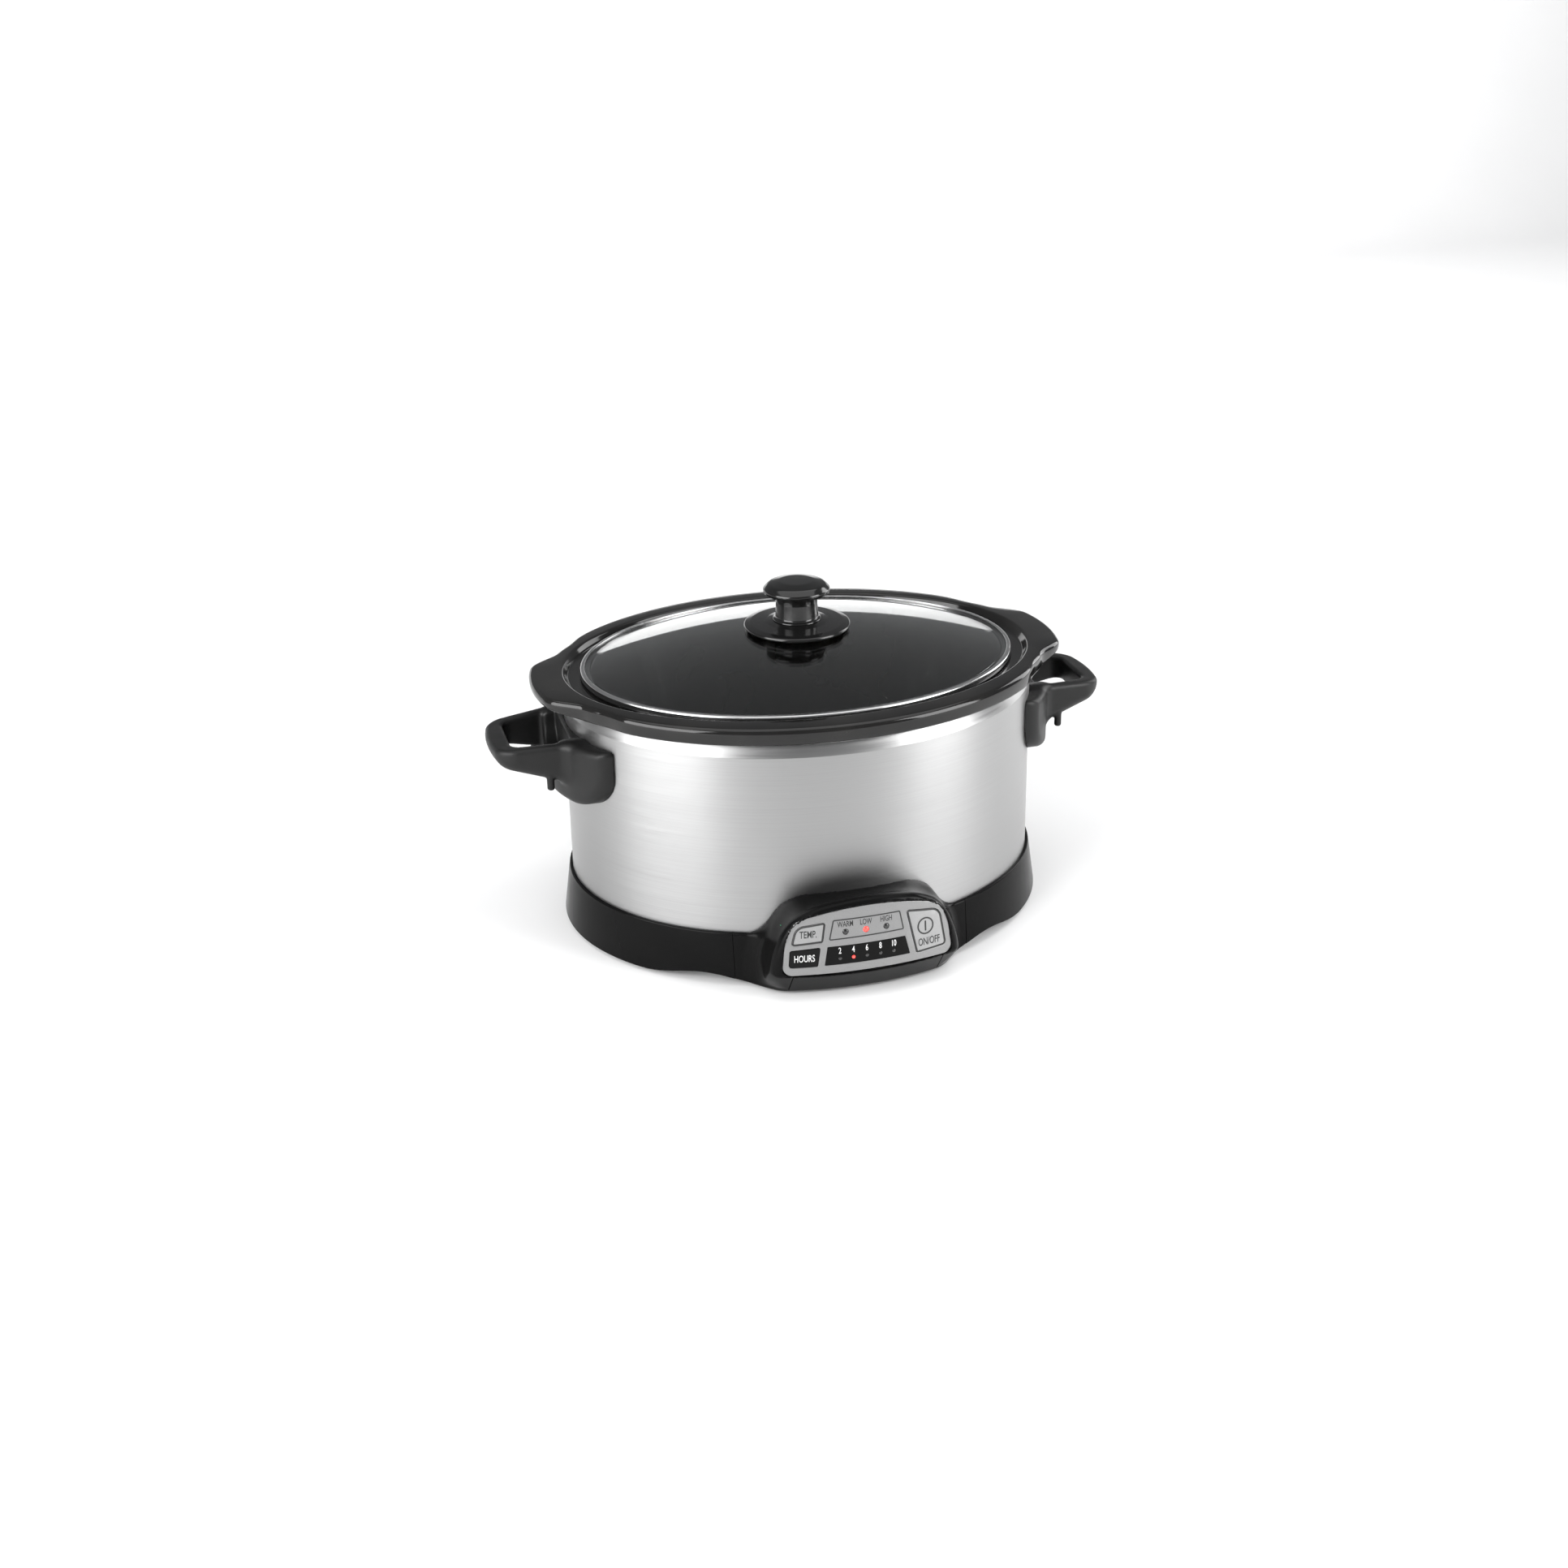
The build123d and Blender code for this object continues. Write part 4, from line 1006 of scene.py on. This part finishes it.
def build_panel():
    gap = 0.35
    key_holes = []
    for outline in KEYS.values():
        key_holes.append(shrunk(rounded_outline(*outline), -gap))
    window = rounded_outline(*HOUR_WINDOW)
    lamp_holes = [ring_outline(LED_R + 0.12, x, LEVEL_LED_Y) for _, x in LEVELS]
    holes = key_holes + [shrunk(window, -0.05)] + lamp_holes
    flat_piece("panel_skin", [facia_outline()] + holes, -FACIA_THICK, 0, "facia_silver", "housing",
               ["facia"], bevel=0.22)
    flat_piece("hour_window", [window], -FACIA_THICK, -0.05, "window_black", "housing",
               ["hours_window"], bevel=0.08)

    # each key is a cap with a printed border and a stem to its switch
    for name, outline in KEYS.items():
        shape = rounded_outline(*outline)
        look = "key_black" if name == "hours_key" else "key_silver"
        flat_piece(name + "_cap", [shape], -FACIA_THICK, 0.1, look, name, [name], bevel=0.25)
        if look == "key_silver":
            border = [shrunk(shape, 0.02), shrunk(shape, 0.85)]
            flat_piece(name + "_border", border, 0.08, 0.16, "ink_black", name)
    frame_line = rounded_outline(*LEVEL_FRAME)
    flat_piece("level_border", [frame_line, shrunk(frame_line, 0.80)], -0.04, 0.07, "ink_black",
               "housing")

    lettering("print_temp", "TEMP.", -37.6, 8.3, 4.6, 0.62, 0.10, "ink_black", "temp_key", 0.05)
    lettering("print_hours", "HOURS", -40.4, -7.0, 4.5, 0.60, 0.10, "ink_white", "hours_key", 0.05)
    lettering("print_power", "ON/OFF", 38.0, -6.9, 4.9, 0.60, 0.10, "ink_black", "power_key")
    power_x, power_y = 35.8, 3.4
    flat_piece("power_ring", [ring_outline(5.5, power_x, power_y), ring_outline(4.55, power_x, power_y)],
               0.08, 0.20, "ink_black", "power_key")
    bar = [(power_x - 0.5, power_y - 3.2), (power_x + 0.5, power_y - 3.2),
           (power_x + 0.5, power_y + 3.2), (power_x - 0.5, power_y + 3.2)]
    flat_piece("power_bar", [rounded_outline(bar, [0.2] * 4)], 0.08, 0.20, "ink_black", "power_key")

    for word, x in LEVELS:
        lit = word == "low"
        lettering("print_" + word, word.upper(), x, 13.0, 3.7, 0.62, -0.02, "ink_black", "housing")
        build_lamp("lamp_" + word, x, LEVEL_LED_Y, 0.35, "lamp_red" if lit else "lamp_off", "level_lamps")
    for hour, x in HOURS:
        lit = hour == 4
        lettering(f"print_{hour}", str(hour), x, -3.7, 4.0, 0.62, -0.07, "ink_white", "housing")
        build_lamp(f"lamp_{hour}", x, HOUR_LED_Y, 0.12, "lamp_red" if lit else "lamp_dim", "hour_lamps")


# ---- handles ----------------------------------------------------------------------------------
ARM_ROOT_Y = 38.2
ARM_END_Y = 28.5
ARM_THICK = 8.6
BAR_BOW_R = 92.5
BAR_THICK = 12.4
UNDERSIDE = ((150.0, 108.6), (190.0, 120.4))
HANDLE_END_TOP_Z = 134.8
PLATE_HALF_WIDTH = 60.0
PLATE_REACH = 165.0
PLATE_FACE_R = 84.7
PLATE_CORNER_R = 24.0
SCOOP_HALF_WIDTH = 24.0
SCOOP_LOW_Z = 119.0
SCOOP_DEPTH = 16.0
SCOOP_X = 153.5 + SCOOP_DEPTH / 2
PEG_X = 167.5
PEG_Y = 30.6
PEG_R = 2.3
PEG_TIP_Z = 108.2


def handle_distance(p):
    """Backplate against the casing, a splayed loop grip and two strap pegs, at the +X end."""
    x, y, z = p[..., 0], np.abs(p[..., 1]), p[..., 2]
    upper = line_distance(x, z, (HANDLE_REACH + 1, HANDLE_END_TOP_Z), (140.0, HANDLE_HIGH[2]))

    # backplate: a bowed slab with deep rounded lower corners, level with the arms' top
    face = np.hypot(x - (PLATE_REACH - PLATE_FACE_R), y) - PLATE_FACE_R
    outline = round_both(y - PLATE_HALF_WIDTH, HANDLE_LOW[2] - z, PLATE_CORNER_R)
    plate = round_both(face, round_both(outline, upper, 2.8), 4.0)

    # grip: arms that splay towards the casing, joined by a bowed bar
    arm_out = line_distance(y, x, (ARM_ROOT_Y, 140.0), (ARM_END_Y, HANDLE_REACH - 4.5))
    bar_out = np.hypot(x - (HANDLE_REACH - BAR_BOW_R), y) - BAR_BOW_R
    under = line_distance(x, z, *UNDERSIDE)
    sweep = round_both(bar_out, under, 8.0)
    loop = round_both(round_both(arm_out, sweep, 9.0), upper, 2.8)
    hole_x = HANDLE_REACH - BAR_THICK
    arm_in = line_distance(y, x, (ARM_ROOT_Y - ARM_THICK, 152.0), (ARM_END_Y - ARM_THICK + 1.2, hole_x))
    hole = round_both(arm_in, x - hole_x, 6.0)
    loop = round_both(loop, -hole, 2.2)
    loop = round_both(loop, under, 2.0)

    body = round_union(plate, loop, 4.5)
    scoop = round_both(y - SCOOP_HALF_WIDTH, SCOOP_LOW_Z - z, 14.0)
    scoop = np.maximum(scoop, np.abs(x - SCOOP_X) - SCOOP_DEPTH / 2)
    body = round_both(body, -scoop, 1.6)
    peg = np.hypot(x - PEG_X, y - PEG_Y) - PEG_R
    peg = round_both(peg, np.maximum(PEG_TIP_Z - z, z - 118.0), 1.2)
    body = round_union(body, peg, 1.6)
    casing = oval_distance(p, (SHELL_HALF[0] - 0.4, SHELL_HALF[1] - 0.4))
    return np.maximum(body, -casing)


def build_handles():
    points, faces = skin(handle_distance, (128, -63, 97), (201, 63, 142), 1.15)
    piece("grip_right", points, faces, "handle_plastic", "housing", stands_for=["handle_right"], crease=60)
    points = points * (-1, -1, 1)
    piece("grip_left", points, faces, "handle_plastic", "housing", stands_for=["handle_left"], crease=60)


# ---- the rest of the CAD nodes -------------------------------------------------------------------
def finish_cad_nodes():
    for name, node in frame["nodes"].items():
        node.data.materials.clear()
        node.data.materials.append(LOOKS[SLOT_OF[name]])


# ---- studio -----------------------------------------------------------------------------------
def build_camera():
    """Camera at the photograph's angle, aimed at the middle of the pot."""
    azimuth, elevation, roll = (math.radians(a) for a in (-15.65, 22.98, -0.95))
    distance = 1.383
    target = Vector((0, POT_Y * MM, 0.1005))
    back = Vector((math.sin(azimuth) * math.cos(elevation), -math.cos(azimuth) * math.cos(elevation),
                   math.sin(elevation)))
    data = bpy.data.cameras.new("camera")
    data.lens = 48.87
    data.sensor_width = 36.0
    data.shift_x = -0.0096
    data.shift_y = -0.0218
    data.clip_end = 50
    camera = bpy.data.objects.new("camera", data)
    camera.location = target + back * distance
    aim = (-back).to_track_quat("-Z", "Y")
    camera.rotation_euler = aim.to_euler()
    camera.rotation_euler.rotate_axis("Z", roll)
    bpy.context.scene.collection.objects.link(camera)
    bpy.context.scene.camera = camera


def around(azimuth, distance, height):
    """A place around the object; azimuth is measured from the front towards +X."""
    turn = math.radians(azimuth)
    return Vector((distance * math.sin(turn), -distance * math.cos(turn), height))


def softbox(name, place, size, radiance, aim=(0, 0, 0.1)):
    """Rectangular light of even brightness."""
    data = bpy.data.lights.new(name, "AREA")
    data.shape = "RECTANGLE"
    data.size, data.size_y = size
    data.energy = radiance * math.pi * size[0] * size[1]
    light = bpy.data.objects.new(name, data)
    light.location = place
    light.rotation_euler = (Vector(aim) - Vector(place)).to_track_quat("-Z", "Y").to_euler()
    bpy.context.scene.collection.objects.link(light)


SWEEP_FRONT = -6.0
SWEEP_BACK = 2.0
SWEEP_RISE = 0.55


def build_stage():
    """Pale sweep: a floor that curves up behind the object."""
    look = Look("sweep", grey(0.88), 0.8)
    look.color_from(look.noise((3, 3, 3)), grey(0.87), grey(0.89))
    profile = [(SWEEP_FRONT, 0.0), (-2.0, 0.0), (0.0, 0.0), (SWEEP_BACK, 0.0)]
    for angle in np.radians(np.arange(6, 91, 6)):
        profile.append((SWEEP_BACK + SWEEP_RISE * math.sin(angle), SWEEP_RISE * (1 - math.cos(angle))))
    sides = np.linspace(-9, 9, 13)
    points = [(x, y, z) for y, z in profile for x in sides]
    count = len(sides)
    faces = []
    for i in range(len(profile) - 1):
        for j in range(count - 1):
            faces.append((i * count + j, i * count + j + 1, (i + 1) * count + j + 1, (i + 1) * count + j))
    mesh = bpy.data.meshes.new("sweep")
    mesh.from_pydata(points, [], faces)
    mesh.shade_smooth()
    mesh.materials.append(look.material)
    sweep = bpy.data.objects.new("sweep", mesh)
    bpy.context.scene.collection.objects.link(sweep)


def build_light():
    """A soft top light and upright softboxes at each side, with a darker gap in front."""
    world = bpy.data.worlds.new("studio")
    world.use_nodes = True
    world.node_tree.nodes["Background"].inputs["Color"].default_value = (0.97, 0.98, 1.0, 1)
    world.node_tree.nodes["Background"].inputs["Strength"].default_value = 0.25
    bpy.context.scene.world = world
    softbox("top", (0, -0.1, 2.2), (3.2, 2.0), 1.45)
    softbox("left", around(-65, 1.5, 0.65), (1.3, 1.2), 7.8)
    softbox("right", around(52, 1.5, 0.65), (0.8, 1.2), 8.2)
    softbox("right_rear", around(108, 1.5, 0.60), (0.6, 1.0), 4.6)
    softbox("backdrop", (0, 0.9, 1.2), (4.0, 0.8), 5.0, (0, 2.6, 0.45))


build_camera()
build_stage()
build_light()
finish_cad_nodes()
build_crock()
build_lid()
build_knob()
build_shell()
build_base()
build_housing()
build_panel()
build_handles()
bpy.context.scene.view_settings.view_transform = "Standard"
